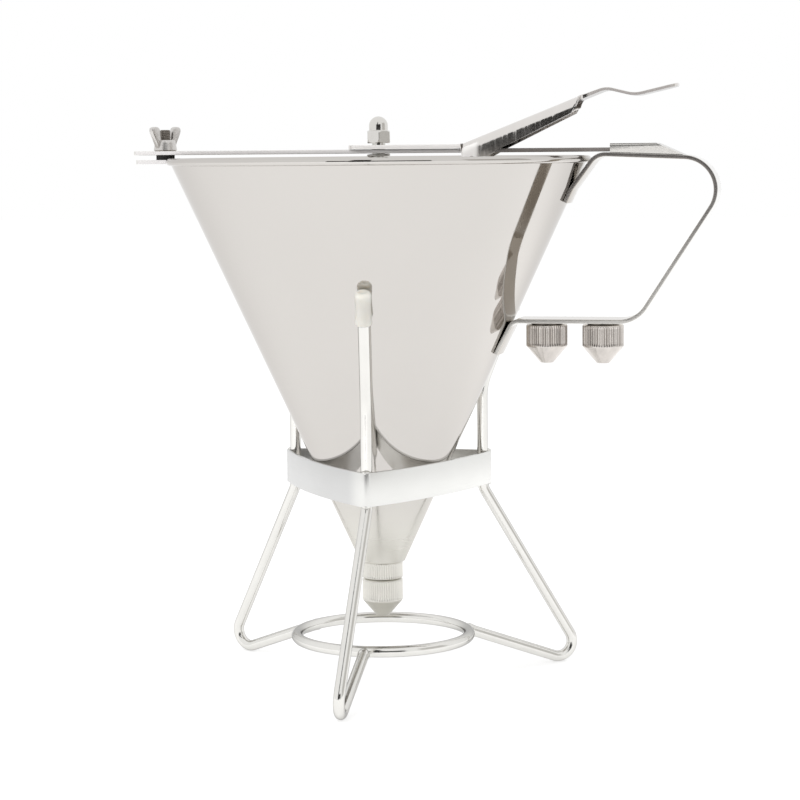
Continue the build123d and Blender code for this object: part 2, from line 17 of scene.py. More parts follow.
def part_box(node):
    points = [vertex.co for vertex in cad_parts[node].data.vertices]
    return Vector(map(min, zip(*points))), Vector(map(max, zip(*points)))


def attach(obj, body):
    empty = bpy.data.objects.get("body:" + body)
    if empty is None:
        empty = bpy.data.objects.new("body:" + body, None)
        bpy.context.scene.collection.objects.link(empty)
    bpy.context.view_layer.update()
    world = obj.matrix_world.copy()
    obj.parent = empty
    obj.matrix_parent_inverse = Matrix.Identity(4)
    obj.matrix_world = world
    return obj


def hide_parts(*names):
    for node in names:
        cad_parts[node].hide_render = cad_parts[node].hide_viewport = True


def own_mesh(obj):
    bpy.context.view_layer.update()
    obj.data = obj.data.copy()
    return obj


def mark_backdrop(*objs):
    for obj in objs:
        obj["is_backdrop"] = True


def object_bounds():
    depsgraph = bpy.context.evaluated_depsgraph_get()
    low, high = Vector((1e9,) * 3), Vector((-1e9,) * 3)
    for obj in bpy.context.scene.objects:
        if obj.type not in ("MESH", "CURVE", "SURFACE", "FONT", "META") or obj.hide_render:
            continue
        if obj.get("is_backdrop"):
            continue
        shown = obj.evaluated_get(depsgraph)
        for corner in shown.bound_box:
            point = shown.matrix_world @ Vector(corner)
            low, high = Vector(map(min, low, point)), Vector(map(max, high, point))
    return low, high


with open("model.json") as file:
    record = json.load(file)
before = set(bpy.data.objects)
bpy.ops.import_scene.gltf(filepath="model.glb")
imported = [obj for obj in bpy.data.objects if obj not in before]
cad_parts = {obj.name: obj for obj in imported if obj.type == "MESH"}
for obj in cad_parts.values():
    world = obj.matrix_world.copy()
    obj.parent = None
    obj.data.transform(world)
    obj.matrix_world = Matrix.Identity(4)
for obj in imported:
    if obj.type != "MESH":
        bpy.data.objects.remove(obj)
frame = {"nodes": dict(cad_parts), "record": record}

MM = 0.001
cad_low, cad_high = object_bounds()
print("CAD box in mm", [round(v / MM, 1) for v in (cad_high - cad_low)])

# %% [markdown]
# The camera stands where the photograph was taken from: a little to the right of the front, about level
# with the rim. Its distance, height and lens were fitted to the rim, the stand and the handle. A constraint
# could aim it, but the fit also gave a small roll, so its matrix is written out. A camera in Blender looks
# along its own -Z, so the three axes of that matrix are right, up and backwards.

# %% Camera
view_turn = radians(12.04)
view_distance = 1074.7 * MM
view_height = 240.0 * MM
view_pitch = 0.1049
view_yaw = -0.0080
view_roll = radians(-0.5)
lens_px = 2384.8
image_px = 800
sensor = 36.0
near_clip = 0.05


def put_in_scene(name, data):
    """An object in the scene that shows a mesh, a curve, a lamp or a camera."""
    shown = bpy.data.objects.new(name, data)
    bpy.context.scene.collection.objects.link(shown)
    return shown


heading = view_turn + view_yaw
forward = Vector((-sin(heading) * cos(view_pitch), cos(heading) * cos(view_pitch), -sin(view_pitch)))
level_right = forward.cross(Vector((0, 0, 1))).normalized()
level_up = level_right.cross(forward)
right = level_right * cos(view_roll) + level_up * sin(view_roll)
up = level_up * cos(view_roll) - level_right * sin(view_roll)
stand_point = Vector((view_distance * sin(view_turn), -view_distance * cos(view_turn), view_height))

camera = put_in_scene("camera", bpy.data.cameras.new("camera"))
camera.data.sensor_width = sensor
camera.data.lens = lens_px * sensor / image_px
camera.data.clip_start = near_clip
camera.matrix_world = Matrix.Translation(stand_point) @ Matrix((right, up, -forward)).transposed().to_4x4()
bpy.context.scene.camera = camera
bpy.context.scene.view_settings.view_transform = "Standard"
print("camera lens", round(camera.data.lens, 1), "mm at", [round(v, 3) for v in stand_point])

# %% [markdown]
# A material in Blender is a small network of nodes. It could be drawn by hand in the shader editor, but a
# script can be read and run again. One helper keeps the networks short: it adds a node with its settings
# and its inputs, and an input is either a plain value or the output of an earlier node.

# %% Node helpers
finishes = {}


def add_node(tree, kind, inputs=None, **settings):
    """Add a node to a network, with its settings and its inputs."""
    made = tree.nodes.new(kind)
    for key, value in settings.items():
        setattr(made, key, value)
    for key, value in (inputs or {}).items():
        if isinstance(value, bpy.types.NodeSocket):
            tree.links.new(value, made.inputs[key])
        else:
            made.inputs[key].default_value = value
    return made


def calculate(tree, operation, first, second=0.0):
    """The result of a sum, a product or another operation on two values."""
    return add_node(tree, "ShaderNodeMath", {0: first, 1: second}, operation=operation).outputs[0]


def new_finish(name):
    """Start a finish, kept by its name, and return its empty network."""
    material = bpy.data.materials.new(name)
    material.use_nodes = True
    material.node_tree.nodes.clear()
    finishes[name] = material
    return material.node_tree


def show(tree, shader, kind="Material"):
    """Join a shader to the output of its network."""
    add_node(tree, "ShaderNodeOutput" + kind, {"Surface": shader.outputs[0]})


print("node helpers", [helper.__name__ for helper in (add_node, calculate, new_finish, show)])

# %% [markdown]
# The stage is a white sweep, as for a product photograph. Polished metal has no colour of its own to show:
# it shows the room. A plain white floor turns grey where less light falls, and chrome would mirror that
# grey. So the floor glows a little, for camera and mirror rays only, and the world is white to them, while
# the light that falls on the floor still leaves its soft shadow.

# %% Floor and world
floor_size = 14.0
floor_gap = 0.05 * MM
floor_glow = 0.50
floor_albedo = 0.60
sky_light = 0.92
pure_white = (1, 1, 1, 1)


def new_object(name, points, faces):
    """A new mesh object in the scene, its points in metres in the frame of the whole object."""
    mesh = bpy.data.meshes.new(name)
    mesh.from_pydata([tuple(p) for p in points], [], faces)
    return put_in_scene(name, mesh)


def mirror_rays(tree):
    """A value that is 1 for camera, glossy and transmission rays, and 0 for the rest."""
    rays = add_node(tree, "ShaderNodeLightPath").outputs
    seen = calculate(tree, "MAXIMUM", rays["Is Camera Ray"], rays["Is Glossy Ray"])
    return calculate(tree, "MAXIMUM", seen, rays["Is Transmission Ray"])


tree = new_finish("floor_paper")
level = calculate(tree, "MULTIPLY", mirror_rays(tree), floor_glow)
paper = add_node(tree, "ShaderNodeBsdfDiffuse", {"Color": (floor_albedo,) * 3 + (1,)})
glow = add_node(tree, "ShaderNodeEmission", {"Color": pure_white, "Strength": level})
show(tree, add_node(tree, "ShaderNodeAddShader", {0: paper.outputs[0], 1: glow.outputs[0]}))

half_floor = floor_size / 2
floor_z = cad_low.z - floor_gap
floor_corners = [(x * half_floor, y * half_floor, floor_z) for x, y in ((-1, -1), (1, -1), (1, 1), (-1, 1))]
floor = new_object("floor", floor_corners, [(0, 1, 2, 3)])
floor.data.materials.append(finishes["floor_paper"])

world = bpy.data.worlds.new("studio")
bpy.context.scene.world = world
world.use_nodes = True
sky = world.node_tree
sky.nodes.clear()
ambient = add_node(sky, "ShaderNodeBackground", {"Color": pure_white, "Strength": sky_light})
white = add_node(sky, "ShaderNodeBackground", {"Color": pure_white, "Strength": 1.0})
sky_sides = {"Fac": mirror_rays(sky), 1: ambient.outputs[0], 2: white.outputs[0]}
show(sky, add_node(sky, "ShaderNodeMixShader", sky_sides), "World")
print("floor", floor_size, "m wide at", round(floor_z / MM, 2), "mm")

# %% [markdown]
# A real studio is dark beyond its lamps, and that dark draws the thin lines that give chrome its shape. A
# whole dark room could be built, but it would take light from the object too. Upright cards on parts of a
# circle do the same, because they are hidden from every kind of ray but the glossy ones.

# %% Studio cards
card_steps = 24
cloth_tint = (1.0, 0.98, 0.95, 1)


def card_finish(name, level):
    """A studio cloth of one brightness."""
    tree = new_finish(name)
    show(tree, add_node(tree, "ShaderNodeEmission", {"Color": cloth_tint, "Strength": level}))


def curved_card(name, finish, radius, heights, turns):
    """An upright card on part of a circle, for glossy rays only, its turns in degrees from the front."""
    points = []
    for step in range(card_steps + 1):
        turn = radians(turns[0] + (turns[1] - turns[0]) * step / card_steps)
        points += [(radius * sin(turn), -radius * cos(turn), z) for z in heights]
    card = new_object(name, points, [(2 * i, 2 * i + 2, 2 * i + 3, 2 * i + 1) for i in range(card_steps)])
    card.data.materials.append(finishes[finish])
    card.visible_camera = False
    card.visible_diffuse = False
    card.visible_transmission = False
    card.visible_shadow = False
    card.visible_volume_scatter = False
    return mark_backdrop(card)


card_finish("dark_cloth", 0.045)
card_finish("grey_cloth", 0.62)
curved_card("room_card", "dark_cloth", radius=1.75, heights=(0.085, 0.86), turns=(-15.0, 39.0))
curved_card("tall_card", "dark_cloth", radius=1.25, heights=(0.0, 1.5), turns=(-3.0, 8.0))
curved_card("side_card", "grey_cloth", radius=1.6, heights=(0.15, 1.2), turns=(58.0, 98.0))

# %% [markdown]
# Four soft lamps shade the object: one above, one at the left, a fill in front, and a small one over the
# floor behind it. Point lamps would throw hard shadows, so these are area lamps. They are hidden from
# glossy rays, so that the metal mirrors the stage and not the lamps.

# %% Lamps


def softbox(name, place, target, width, height, power):
    """A soft area lamp that faces a point and does not show in mirrors."""
    lamp = bpy.data.lights.new(name, "AREA")
    lamp.shape = "RECTANGLE"
    lamp.size = width
    lamp.size_y = height
    lamp.energy = power
    lamp_object = put_in_scene(name, lamp)
    lamp_object.location = place
    lamp_object.rotation_mode = "QUATERNION"
    lamp_object.rotation_quaternion = (Vector(target) - Vector(place)).to_track_quat("-Z", "Y")
    lamp_object.visible_glossy = False


middle = (cad_low + cad_high) / 2
softbox("top_lamp", (-0.3, -0.5, 1.7), middle, width=1.1, height=1.0, power=7.0)
softbox("left_panel", (-0.95, -1.16, 0.75), middle, width=0.5, height=1.3, power=3.2)
softbox("front_fill", (0.15, -1.3, 0.2), middle, width=1.0, height=0.4, power=3.8)
softbox("floor_spill", (0.3, 0.3, 0.3), (0.3, 0.3, 0), width=0.15, height=0.15, power=0.35)

# %% [markdown]
# Every metal here is one idea with different numbers: a metallic shader whose gloss, tint and surface come
# from noise that is stretched along the way the piece was rolled, drawn or turned. Image textures could
# carry such marks, but every mesh would have to be unwrapped for them. The noise is read in the object's
# own metres, so a scale of 1000 is one mark to the millimetre.

# %% Metal finishes
noise_low, noise_high = 0.3, 0.7
soft_detail = 2.0
even_tone = (0.955, 1.03)


def grain_noise(tree, stretch, detail=4.0):
    """Noise in the object's own metres, with its own scale along x, y and z."""
    place = add_node(tree, "ShaderNodeTexCoord").outputs["Object"]
    scaled = add_node(tree, "ShaderNodeMapping", {"Vector": place, "Scale": stretch}).outputs[0]
    grain = {"Vector": scaled, "Scale": 1.0, "Detail": detail}
    return add_node(tree, "ShaderNodeTexNoise", grain).outputs["Fac"]


def remap(tree, value, start, end, low=0.0, high=1.0, kind="SMOOTHSTEP"):
    """Carry a value over from one range to another, by a smooth step or straight."""
    ranges = {"Value": value, "From Min": start, "From Max": end, "To Min": low, "To Max": high}
    return add_node(tree, "ShaderNodeMapRange", ranges, interpolation_type=kind).outputs["Result"]


def spread(tree, value, low, high):
    """Carry a noise value over to a range of its own."""
    return remap(tree, value, noise_low, noise_high, low, high, "LINEAR")


def mix_tints(tree, share, first, second):
    """A colour between two, each of them plain or the output of a node."""
    return add_node(tree, "ShaderNodeMix", {0: share, 6: first, 7: second}, data_type="RGBA").outputs[2]


def shades(tree, value, colour, low=even_tone[0], high=even_tone[1]):
    """A colour that goes from a darker to a lighter shade of itself."""
    dark = [c * low for c in colour]
    light = [min(1.0, c * high) for c in colour]
    return mix_tints(tree, value, (*dark, 1), (*light, 1))


def along_axis(tree, axis, start, end):
    """A smooth step along one of the object's axes, between two places in millimetres."""
    place = add_node(tree, "ShaderNodeTexCoord").outputs["Object"]
    parts = add_node(tree, "ShaderNodeSeparateXYZ", {"Vector": place})
    return remap(tree, parts.outputs[axis], start * MM, end * MM)


def bump(tree, height, depth, under=None):
    """Raise the surface by a value, its depth in millimetres, on top of another bump if there is one."""
    inputs = {"Strength": 1.0, "Distance": depth * MM, "Height": height}
    if under:
        inputs["Normal"] = under
    return add_node(tree, "ShaderNodeBump", inputs).outputs["Normal"]


def dress(tree, inputs):
    """Show one Principled shader with these inputs."""
    show(tree, add_node(tree, "ShaderNodeBsdfPrincipled", inputs))


def metal_finish(
    name, colour, gloss, stretch, depth, wave=(35, 35, 35), wave_depth=0.0, edge=1.0, tone=even_tone,
    groove=None, fade=None,
):
    """A metal with marks along its grain and slow waves in its surface, both depths in millimetres.

    edge darkens it where it is seen at a low angle, and tone is how much its shade varies. groove is the
    colour at the bottom of its flutes, a painted shade. fade is a second colour, an axis, and the places
    where it starts and is full, a painted shade towards one end.
    """
    tree = new_finish(name)
    grain = grain_noise(tree, stretch)
    waves = grain_noise(tree, wave, soft_detail)
    tint = shades(tree, waves, colour, *tone)
    if fade:
        tint = mix_tints(tree, along_axis(tree, *fade[1:]), tint, shades(tree, waves, fade[0], *tone))
    if groove:
        sunk = add_node(tree, "ShaderNodeAttribute", attribute_name="groove").outputs["Fac"]
        tint = mix_tints(tree, sunk, tint, shades(tree, waves, groove, *tone))
    swell = bump(tree, waves, wave_depth) if wave_depth else None
    dress(tree, {
        "Metallic": 1.0,
        "Specular Tint": (edge, edge, edge, 1),
        "Base Color": tint,
        "Roughness": spread(tree, grain, *gloss),
        "Normal": bump(tree, grain, depth, swell),
    })


metal_finish(
    "fastener_steel", (0.70, 0.685, 0.655), gloss=(0.10, 0.18), stretch=(300, 300, 300), depth=0.002
)
metal_finish("rod_steel", (0.66, 0.65, 0.62), gloss=(0.10, 0.20), stretch=(160, 160, 1500), depth=0.0015)
# The spring's colour is kept pale, painted light against the shade it sits in under the bar.
metal_finish("spring_steel", (0.90, 0.89, 0.87), gloss=(0.35, 0.50), stretch=(500, 500, 500), depth=0.003)
metal_finish(
    "chrome_wire", (0.79, 0.78, 0.75), gloss=(0.11, 0.17), stretch=(420, 420, 420), depth=0.0015,
    wave=(120, 120, 120), wave_depth=0.006, edge=0.5,
)
# The fade makes the band darker at its left, below x = -6 mm: painted shade.
metal_finish(
    "chrome_strip", (0.775, 0.775, 0.755), gloss=(0.29, 0.34), stretch=(60, 60, 1400), depth=0.0003,
    wave=(45, 45, 45), wave_depth=0.01, fade=((0.63, 0.63, 0.625), "X", 2.0, -6.0),
)
print("finishes so far", sorted(finishes))

# %% [markdown]
# The funnel is polished almost to a mirror, with faint marks round it. Towards the outlet, where the collar
# is welded on and the seam is ground flush, it turns satin. Two materials would meet in a hard line, so
# this is one finish whose gloss and tint depend on height.

# %% Funnel finish
ground_top = 98.0
ground_low = 58.0
ground_rough = 0.24
polish_rough = (0.03, 0.08)
polish_marks = 0.0002
polish_waves = 0.10

tree = new_finish("polished_steel")
grain = grain_noise(tree, (22, 22, 620))
waves = grain_noise(tree, (20, 20, 14), soft_detail)
ground = along_axis(tree, "Z", ground_top, ground_low)
upper = mix_tints(tree, waves, (0.592, 0.570, 0.544, 1), (0.615, 0.592, 0.566, 1))
lower = shades(tree, waves, (0.715, 0.70, 0.65))
satin = calculate(tree, "MULTIPLY", ground, ground_rough)
dress(tree, {
    "Metallic": 1.0,
    "Specular Tint": (0.80, 0.79, 0.78, 1),
    "Base Color": mix_tints(tree, ground, upper, lower),
    "Roughness": calculate(tree, "ADD", satin, spread(tree, grain, *polish_rough)),
    "Normal": bump(tree, grain, polish_marks, bump(tree, waves, polish_waves)),
})
print("satin below", ground_top, "mm")

# %% [markdown]
# The nozzles are turned and then tumbled. The one in use and its collar have gone satin from washing, while
# the spares under the handle keep their shine. One network makes both, and the dark thread of the stud and
# the rough skin of the wing nut as well: only the numbers change.

# %% Turned finish
# For the collar and the nozzle in use, groove darkens the flute bottoms and fade darkens the nose below 35
# mm: both are painted shade.
metal_finish(
    "turned_steel", (0.735, 0.72, 0.672), gloss=(0.28, 0.38), stretch=(700, 700, 90), depth=0.001,
    wave=(60, 60, 400), groove=(0.66, 0.645, 0.60), fade=((0.45, 0.435, 0.385), "Z", 36.0, 35.0),
)
# The spares get a deep painted shade at the bottom of their flutes, uneven from flute to flute.
metal_finish(
    "spare_steel", (0.66, 0.62, 0.585), gloss=(0.14, 0.22), stretch=(500, 500, 120), depth=0.001,
    wave=(420, 420, 30), tone=(0.8, 1.14), groove=(0.29, 0.26, 0.235),
)
metal_finish(
    "dark_thread", (0.20, 0.18, 0.16), gloss=(0.30, 0.45), stretch=(300, 300, 900), depth=0.002
)
metal_finish(
    "cast_steel", (0.64, 0.62, 0.60), gloss=(0.26, 0.36), stretch=(500, 500, 500), depth=0.004,
    wave=(180, 180, 180), wave_depth=0.03,
)
print("finishes so far", len(finishes))

# %% [markdown]
# The handle, the lever and the bar are sheared from sheet: their broad faces keep the mill's polish, and
# their cut edges are dull. The edges could get a material of their own, face by face. But nearly all of
# them face along Y, so the shader asks the surface which way it faces and mixes the two looks, which also
# gives a soft change over the rounded corners.

# %% Strip finishes
mill = (0.76, 0.745, 0.715)
mill_grain = (34, 1300, 34)
pressed_fade = 3.0
cut_facing = (0.72, 0.93)
inner_facing = (0.15, 0.45)
face_tone = (0.96, 1.03)
inner_tone = (0.9, 1.1)
cut_tone = (0.93, 1.04)
strip_marks = 0.001


def sheared_finish(
    name, face_colour, edges, gloss, edge_gloss, wave=(60, 60, 60), wave_depth=0.02, edge_metal=1.0,
    inner=None, pressed=None,
):
    """Polished strip with dull cut edges on the sides that face along y.

    edges holds two colours of the cut edges, an axis, and the places along it where the first turns into
    the second: painted light and shade along the edges. edge_metal is how metallic the edges are.
    inner is a colour and a centre: faces that look towards the centre get that colour as painted shade.
    pressed is a stretch along x, in millimetres, whose sides are pressed and not cut.
    """
    tree = new_finish(name)
    grain = grain_noise(tree, mill_grain)
    shear = grain_noise(tree, (90, 60, 90), soft_detail)
    waves = grain_noise(tree, wave, soft_detail)
    place = add_node(tree, "ShaderNodeTexCoord").outputs
    facing = add_node(tree, "ShaderNodeSeparateXYZ", {"Vector": place["Normal"]}).outputs
    edge = remap(tree, calculate(tree, "ABSOLUTE", facing["Y"]), *cut_facing)
    if pressed:
        past_start = along_axis(tree, "X", pressed[0], pressed[0] + pressed_fade)
        before_end = along_axis(tree, "X", pressed[1], pressed[1] - pressed_fade)
        inside = calculate(tree, "MULTIPLY", past_start, before_end)
        edge = calculate(tree, "MULTIPLY", edge, calculate(tree, "SUBTRACT", 1.0, inside))
    face_tint = shades(tree, waves, face_colour, *face_tone)
    if inner:
        colour, centre = inner
        inward = {0: [c * MM for c in centre], 1: place["Object"]}
        towards = add_node(tree, "ShaderNodeVectorMath", inward, operation="SUBTRACT").outputs["Vector"]
        unit = add_node(tree, "ShaderNodeVectorMath", {0: towards}, operation="NORMALIZE").outputs["Vector"]
        both = {0: unit, 1: place["Normal"]}
        agree = add_node(tree, "ShaderNodeVectorMath", both, operation="DOT_PRODUCT").outputs["Value"]
        dull = shades(tree, waves, colour, *inner_tone)
        face_tint = mix_tints(tree, remap(tree, agree, *inner_facing), face_tint, dull)
    edge_tints = [shades(tree, shear, colour, *cut_tone) for colour in edges[:2]]
    edge_tint = mix_tints(tree, along_axis(tree, *edges[2:]), *edge_tints)
    roughs = {0: edge, 2: spread(tree, grain, *gloss), 3: spread(tree, shear, *edge_gloss)}
    dress(tree, {
        "Metallic": remap(tree, edge, 0.0, 1.0, 1.0, edge_metal, "LINEAR") if edge_metal < 1 else 1.0,
        "Base Color": mix_tints(tree, edge, face_tint, edge_tint),
        "Roughness": add_node(tree, "ShaderNodeMix", roughs, data_type="FLOAT").outputs[0],
        "Normal": bump(tree, grain, strip_marks, bump(tree, waves, wave_depth)),
    })


# The handle's cut edges darken towards its top, a painted dark reflection, and its faces that look into the
# loop get a painted shade.
sheared_finish(
    "handle_steel", mill, edges=((0.56, 0.545, 0.52), (0.22, 0.205, 0.195), "Z", 175.0, 230.0),
    gloss=(0.06, 0.14), edge_gloss=(0.36, 0.50), inner=((0.42, 0.38, 0.33), (128, 0, 200)),
)
# The lever's cut edges are painted light over the tongue and painted shade past x = 70 mm on the thumb
# strip, and its faces that look down under the channel get a dark painted shade.
sheared_finish(
    "lever_steel", (0.74, 0.715, 0.69), edges=((0.95, 0.93, 0.91), (0.40, 0.375, 0.36), "X", 70.0, 96.0),
    gloss=(0.10, 0.18), edge_gloss=(0.45, 0.60), wave=(330, 40, 60), wave_depth=0.20, edge_metal=0.3,
    inner=((0.10, 0.085, 0.075), (160, 0, 150)), pressed=(45.0, 97.0),
)
# The bar's cut edges turn dark past x = 60 mm, beside the lever: painted shade.
sheared_finish(
    "bar_steel", mill, edges=((0.75, 0.73, 0.725), (0.20, 0.18, 0.17), "X", 46.0, 60.0),
    gloss=(0.12, 0.22), edge_gloss=(0.45, 0.60), edge_metal=0.2,
)
metal_finish(
    "keeper_steel", (0.60, 0.585, 0.56), gloss=(0.16, 0.24), stretch=mill_grain, depth=strip_marks,
    wave=(70, 70, 160), wave_depth=0.03, tone=(0.88, 1.06),
)
print("finishes so far", len(finishes))

# %% [markdown]
# Two parts are not metal. The spacer under the bar is black rubber, and the wire tips wear soft vinyl
# sleeves that have gone a little cream. Glass with a tint would show the wire inside them. Vinyl is milky:
# light that enters it is scattered and comes out nearby, so it gets subsurface scattering.

# %% Rubber and vinyl
scatter_reach = 3.0 * MM


def soft_finish(name, dark, light, gloss, stretch, depth, milky=0.0, clear=0.0):
    """Rubber or vinyl with a fine skin, and light let through milky or clear if asked."""
    tree = new_finish(name)
    skin = grain_noise(tree, (stretch,) * 3)
    dress(tree, {
        "Metallic": 0.0,
        "IOR": 1.5,
        "Transmission Weight": clear,
        "Subsurface Weight": milky,
        "Subsurface Radius": (0.85, 0.92, 1.0),
        "Subsurface Scale": scatter_reach,
        "Base Color": mix_tints(tree, skin, (*dark, 1), (*light, 1)),
        "Roughness": spread(tree, skin, *gloss),
        "Normal": bump(tree, skin, depth),
    })


soft_finish(
    "black_rubber", (0.012, 0.012, 0.012), (0.024, 0.023, 0.022), gloss=(0.5, 0.7), stretch=900, depth=0.01
)
soft_finish(
    "pale_vinyl", (0.90, 0.84, 0.71), (0.96, 0.92, 0.83), gloss=(0.06, 0.16), stretch=260, depth=0.03,
    milky=1.0, clear=0.06,
)
slot_names = [entry["slot"] for entry in frame["record"]["materials"]]
print("slots without a finish", [name for name in slot_names if name not in finishes])

# %% [markdown]
# The CAD nodes carry the names of their finishes on their material slots. They could be dressed one by one,
# but swapping each slot for the finish of that name does all of them at once. Nodes that are modelled again
# later are hidden by their new piece.

# %% Dress the CAD nodes
for part in frame["nodes"].values():
    for place in part.material_slots:
        wanted = place.material.name.split(".")[0] if place.material else ""
        if wanted in finishes:
            place.material = finishes[wanted]
frame["nodes"]["rim_lug"].material_slots[0].material = finishes["bar_steel"]
# The nozzle bosses get the dark thread finish, so the thin band between the handle and each spare nozzle
# shows dark.
for node in ("inner_nozzle_boss", "outer_nozzle_boss"):
    frame["nodes"][node].material_slots[0].material = finishes["dark_thread"]
worn = {place.material.name for part in frame["nodes"].values() for place in part.material_slots}
print("dressed", len(frame["nodes"]), "nodes in", sorted(worn))

# %% [markdown]
# Each new piece goes through the same three steps: its mesh is welded and shaded smooth up to its sharp
# edges, it gets its finish, and it is hung on the body it moves with, while the CAD nodes it stands for
# are hidden. One function does all three, so that no piece misses one.

# %% Piece helpers
weld_distance = 0.004 * MM


def weld_mesh(piece, sharp=40):
    """Weld a mesh, turn its faces outwards and shade it smooth up to a sharp angle in degrees."""
    shape = bmesh.new()
    shape.from_mesh(piece.data)
    bmesh.ops.remove_doubles(shape, verts=shape.verts, dist=weld_distance)
    bmesh.ops.dissolve_degenerate(shape, edges=shape.edges, dist=weld_distance)
    bmesh.ops.recalc_face_normals(shape, faces=shape.faces)
    shape.to_mesh(piece.data)
    shape.free()
    piece.data.shade_smooth()
    piece.data.set_sharp_from_angle(angle=radians(sharp))


def settle(piece, body, slot, *nodes, sharp=40, finish=None):
    """Finish a piece and hang it on its body, in place of the CAD nodes it stands for."""
    weld_mesh(piece, sharp)
    piece.data.materials.clear()
    piece.data.materials.append(finishes[finish or slot])
    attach(piece, body)
    if nodes:
        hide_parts(*nodes)
    print(piece.name, len(piece.data.polygons), "faces on", body)


print("points closer than", weld_distance / MM, "mm are welded")

# %% [markdown]
# Most of the parts are turned. A Screw modifier could spin an outline of (radius, height) points round an
# upright axis. This lathe function does that too, but it can also ask a small function for the radius at
# each angle, and that is how a knurl gets real flutes and a stud gets a real thread.

# %% Lathe


def skin_faces(rings, count, round_again, closed):
    """Faces between neighbouring rings of points.

    round_again joins the last ring to the first, and closed joins each ring's last point to its first.
    """
    faces = []
    for step in range(rings if round_again else rings - 1):
        here, there = step * count, (step + 1) % rings * count
        for i in range(count if closed else count - 1):
            j = (i + 1) % count
            faces.append((here + i, there + i, there + j, here + j))
    return faces


def lathe(name, outline, segments, axis=(0, 0), radius_at=None, closed=True):
    """Spin an outline in millimetres round an upright axis."""
    points = []
    for step in range(segments):
        turn = 2 * pi * step / segments
        for r, z in outline:
            reach = radius_at(turn, r, z) if radius_at else r
            points.append(((axis[0] + reach * cos(turn)) * MM, (axis[1] + reach * sin(turn)) * MM, z * MM))
    return new_object(name, points, skin_faces(segments, len(outline), True, closed))


def arc(centre, radius, start, end, steps):
    """Points along an arc, its angles in degrees."""
    turns = [radians(start + (end - start) * i / steps) for i in range(steps + 1)]
    return [(centre[0] + radius * cos(a), centre[1] + radius * sin(a)) for a in turns]


def rungs(start, end, count):
    """Points that divide a straight run, without its end."""
    return [tuple(a + (b - a) * i / count for a, b in zip(start, end)) for i in range(count)]


print("half a circle in 4 steps", [(round(x, 2), round(y, 2)) for x, y in arc((0, 0), 1, 0, 180, 4)])

# %% [markdown]
# The funnel is sheet steel with a rolled rim: the sheet curls outwards over a full turn until it meets the
# wall again. A torus could be laid on the edge, but the crease under the curl would be missing. So the
# lathe's outline goes up the inside, round the curl and down the outside, and the crease is where those two
# meet. 256 segments keep the mirror finish free of facets.

# %% Funnel
sheet = 1.0
bead_r = 1.6
funnel_segments = 256
funnel_low, funnel_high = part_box("funnel_cone")
rim_r = funnel_high.y / MM
bead_z = funnel_high.z / MM - bead_r
outlet_z = funnel_low.z / MM
outlet_r = 10.3
bead_centre = (rim_r - bead_r, bead_z)
cone_slope = (bead_centre[0] - outlet_r) / (bead_z - outlet_z)
cone_angle = atan(cone_slope)
sheet_across = sheet / cos(cone_angle)
wall_turn = 270 - degrees(cone_angle)
inner_turn = wall_turn - degrees(asin(sheet / bead_r))


def cone_r(z):
    """Outer radius of the funnel at a height."""
    return outlet_r + (z - outlet_z) * cone_slope


curl = arc(bead_centre, bead_r, inner_turn, wall_turn - 360, 40)
inner_low = (outlet_r - sheet_across, outlet_z)
outer_low = (outlet_r, outlet_z)
funnel_outline = rungs(inner_low, curl[0], 16) + curl[:-1] + rungs(curl[-1], outer_low, 16) + [outer_low]
funnel_shell = lathe("funnel_shell", funnel_outline, funnel_segments)
settle(funnel_shell, "funnel", "polished_steel", "funnel_cone")
print("rim", round(2 * rim_r, 1), "mm, half angle", round(degrees(cone_angle), 1))

# %% [markdown]
# The collar under the cone is a turned part with a straight knurl for the fingers. A bump in the finish
# could draw the flutes, but the outline would stay smooth, so they are cut into the mesh: the radius dips
# once for each flute, and the dip fades out at both ends of the grip so that a plain shoulder is left above
# and below.

# %% Knurled collar
flutes = 52
flute_depth = 0.36
flute_sharpness = 1.5
flute_segments = flutes * 7
face_margin = 0.05
jitter_step = 0.77
collar_r = 9.2
collar_z = outlet_z - 8.0
collar_top = outlet_z - 0.7
thread_r = 6.9
thread_z = collar_z - 8.2
flow_r = 4.5
edge_break = 0.5
deepest = 1.1


def held(value):
    """A value kept between 0 and 1."""
    return max(0.0, min(1.0, value))


def knurl(face_r, low, high, fade):
    """Radius of a turned part whose outer face has flutes between two heights."""
    def radius_at(turn, r, z):
        if r <= face_r - face_margin:
            return r
        share = held(min(z - low, high - z) / fade)
        return r - flute_depth * share * (0.5 - 0.5 * cos(flutes * turn)) ** flute_sharpness
    return radius_at


def mark_grooves(piece, axis, grip_r, low, high, uneven=0.0):
    """Write how deep each point lies in a flute, from 0 to 1, for the finish to read.

    uneven makes the painted shade deeper in some flutes than in others, at random.
    """
    layer = piece.data.attributes.new("groove", "FLOAT", "POINT")
    for vertex, entry in zip(piece.data.vertices, layer.data):
        x, y, z = vertex.co / MM
        sunk = (grip_r - sqrt((x - axis[0]) ** 2 + (y - axis[1]) ** 2)) / flute_depth
        if low < z < high and sunk < deepest:
            flute = int(atan2(y - axis[1], x - axis[0]) / (2 * pi) * flutes + flutes)
            shade_jitter = uneven * noise.noise(Vector((jitter_step * flute, axis[0], 0.5)))
            entry.value = held(sunk + shade_jitter)


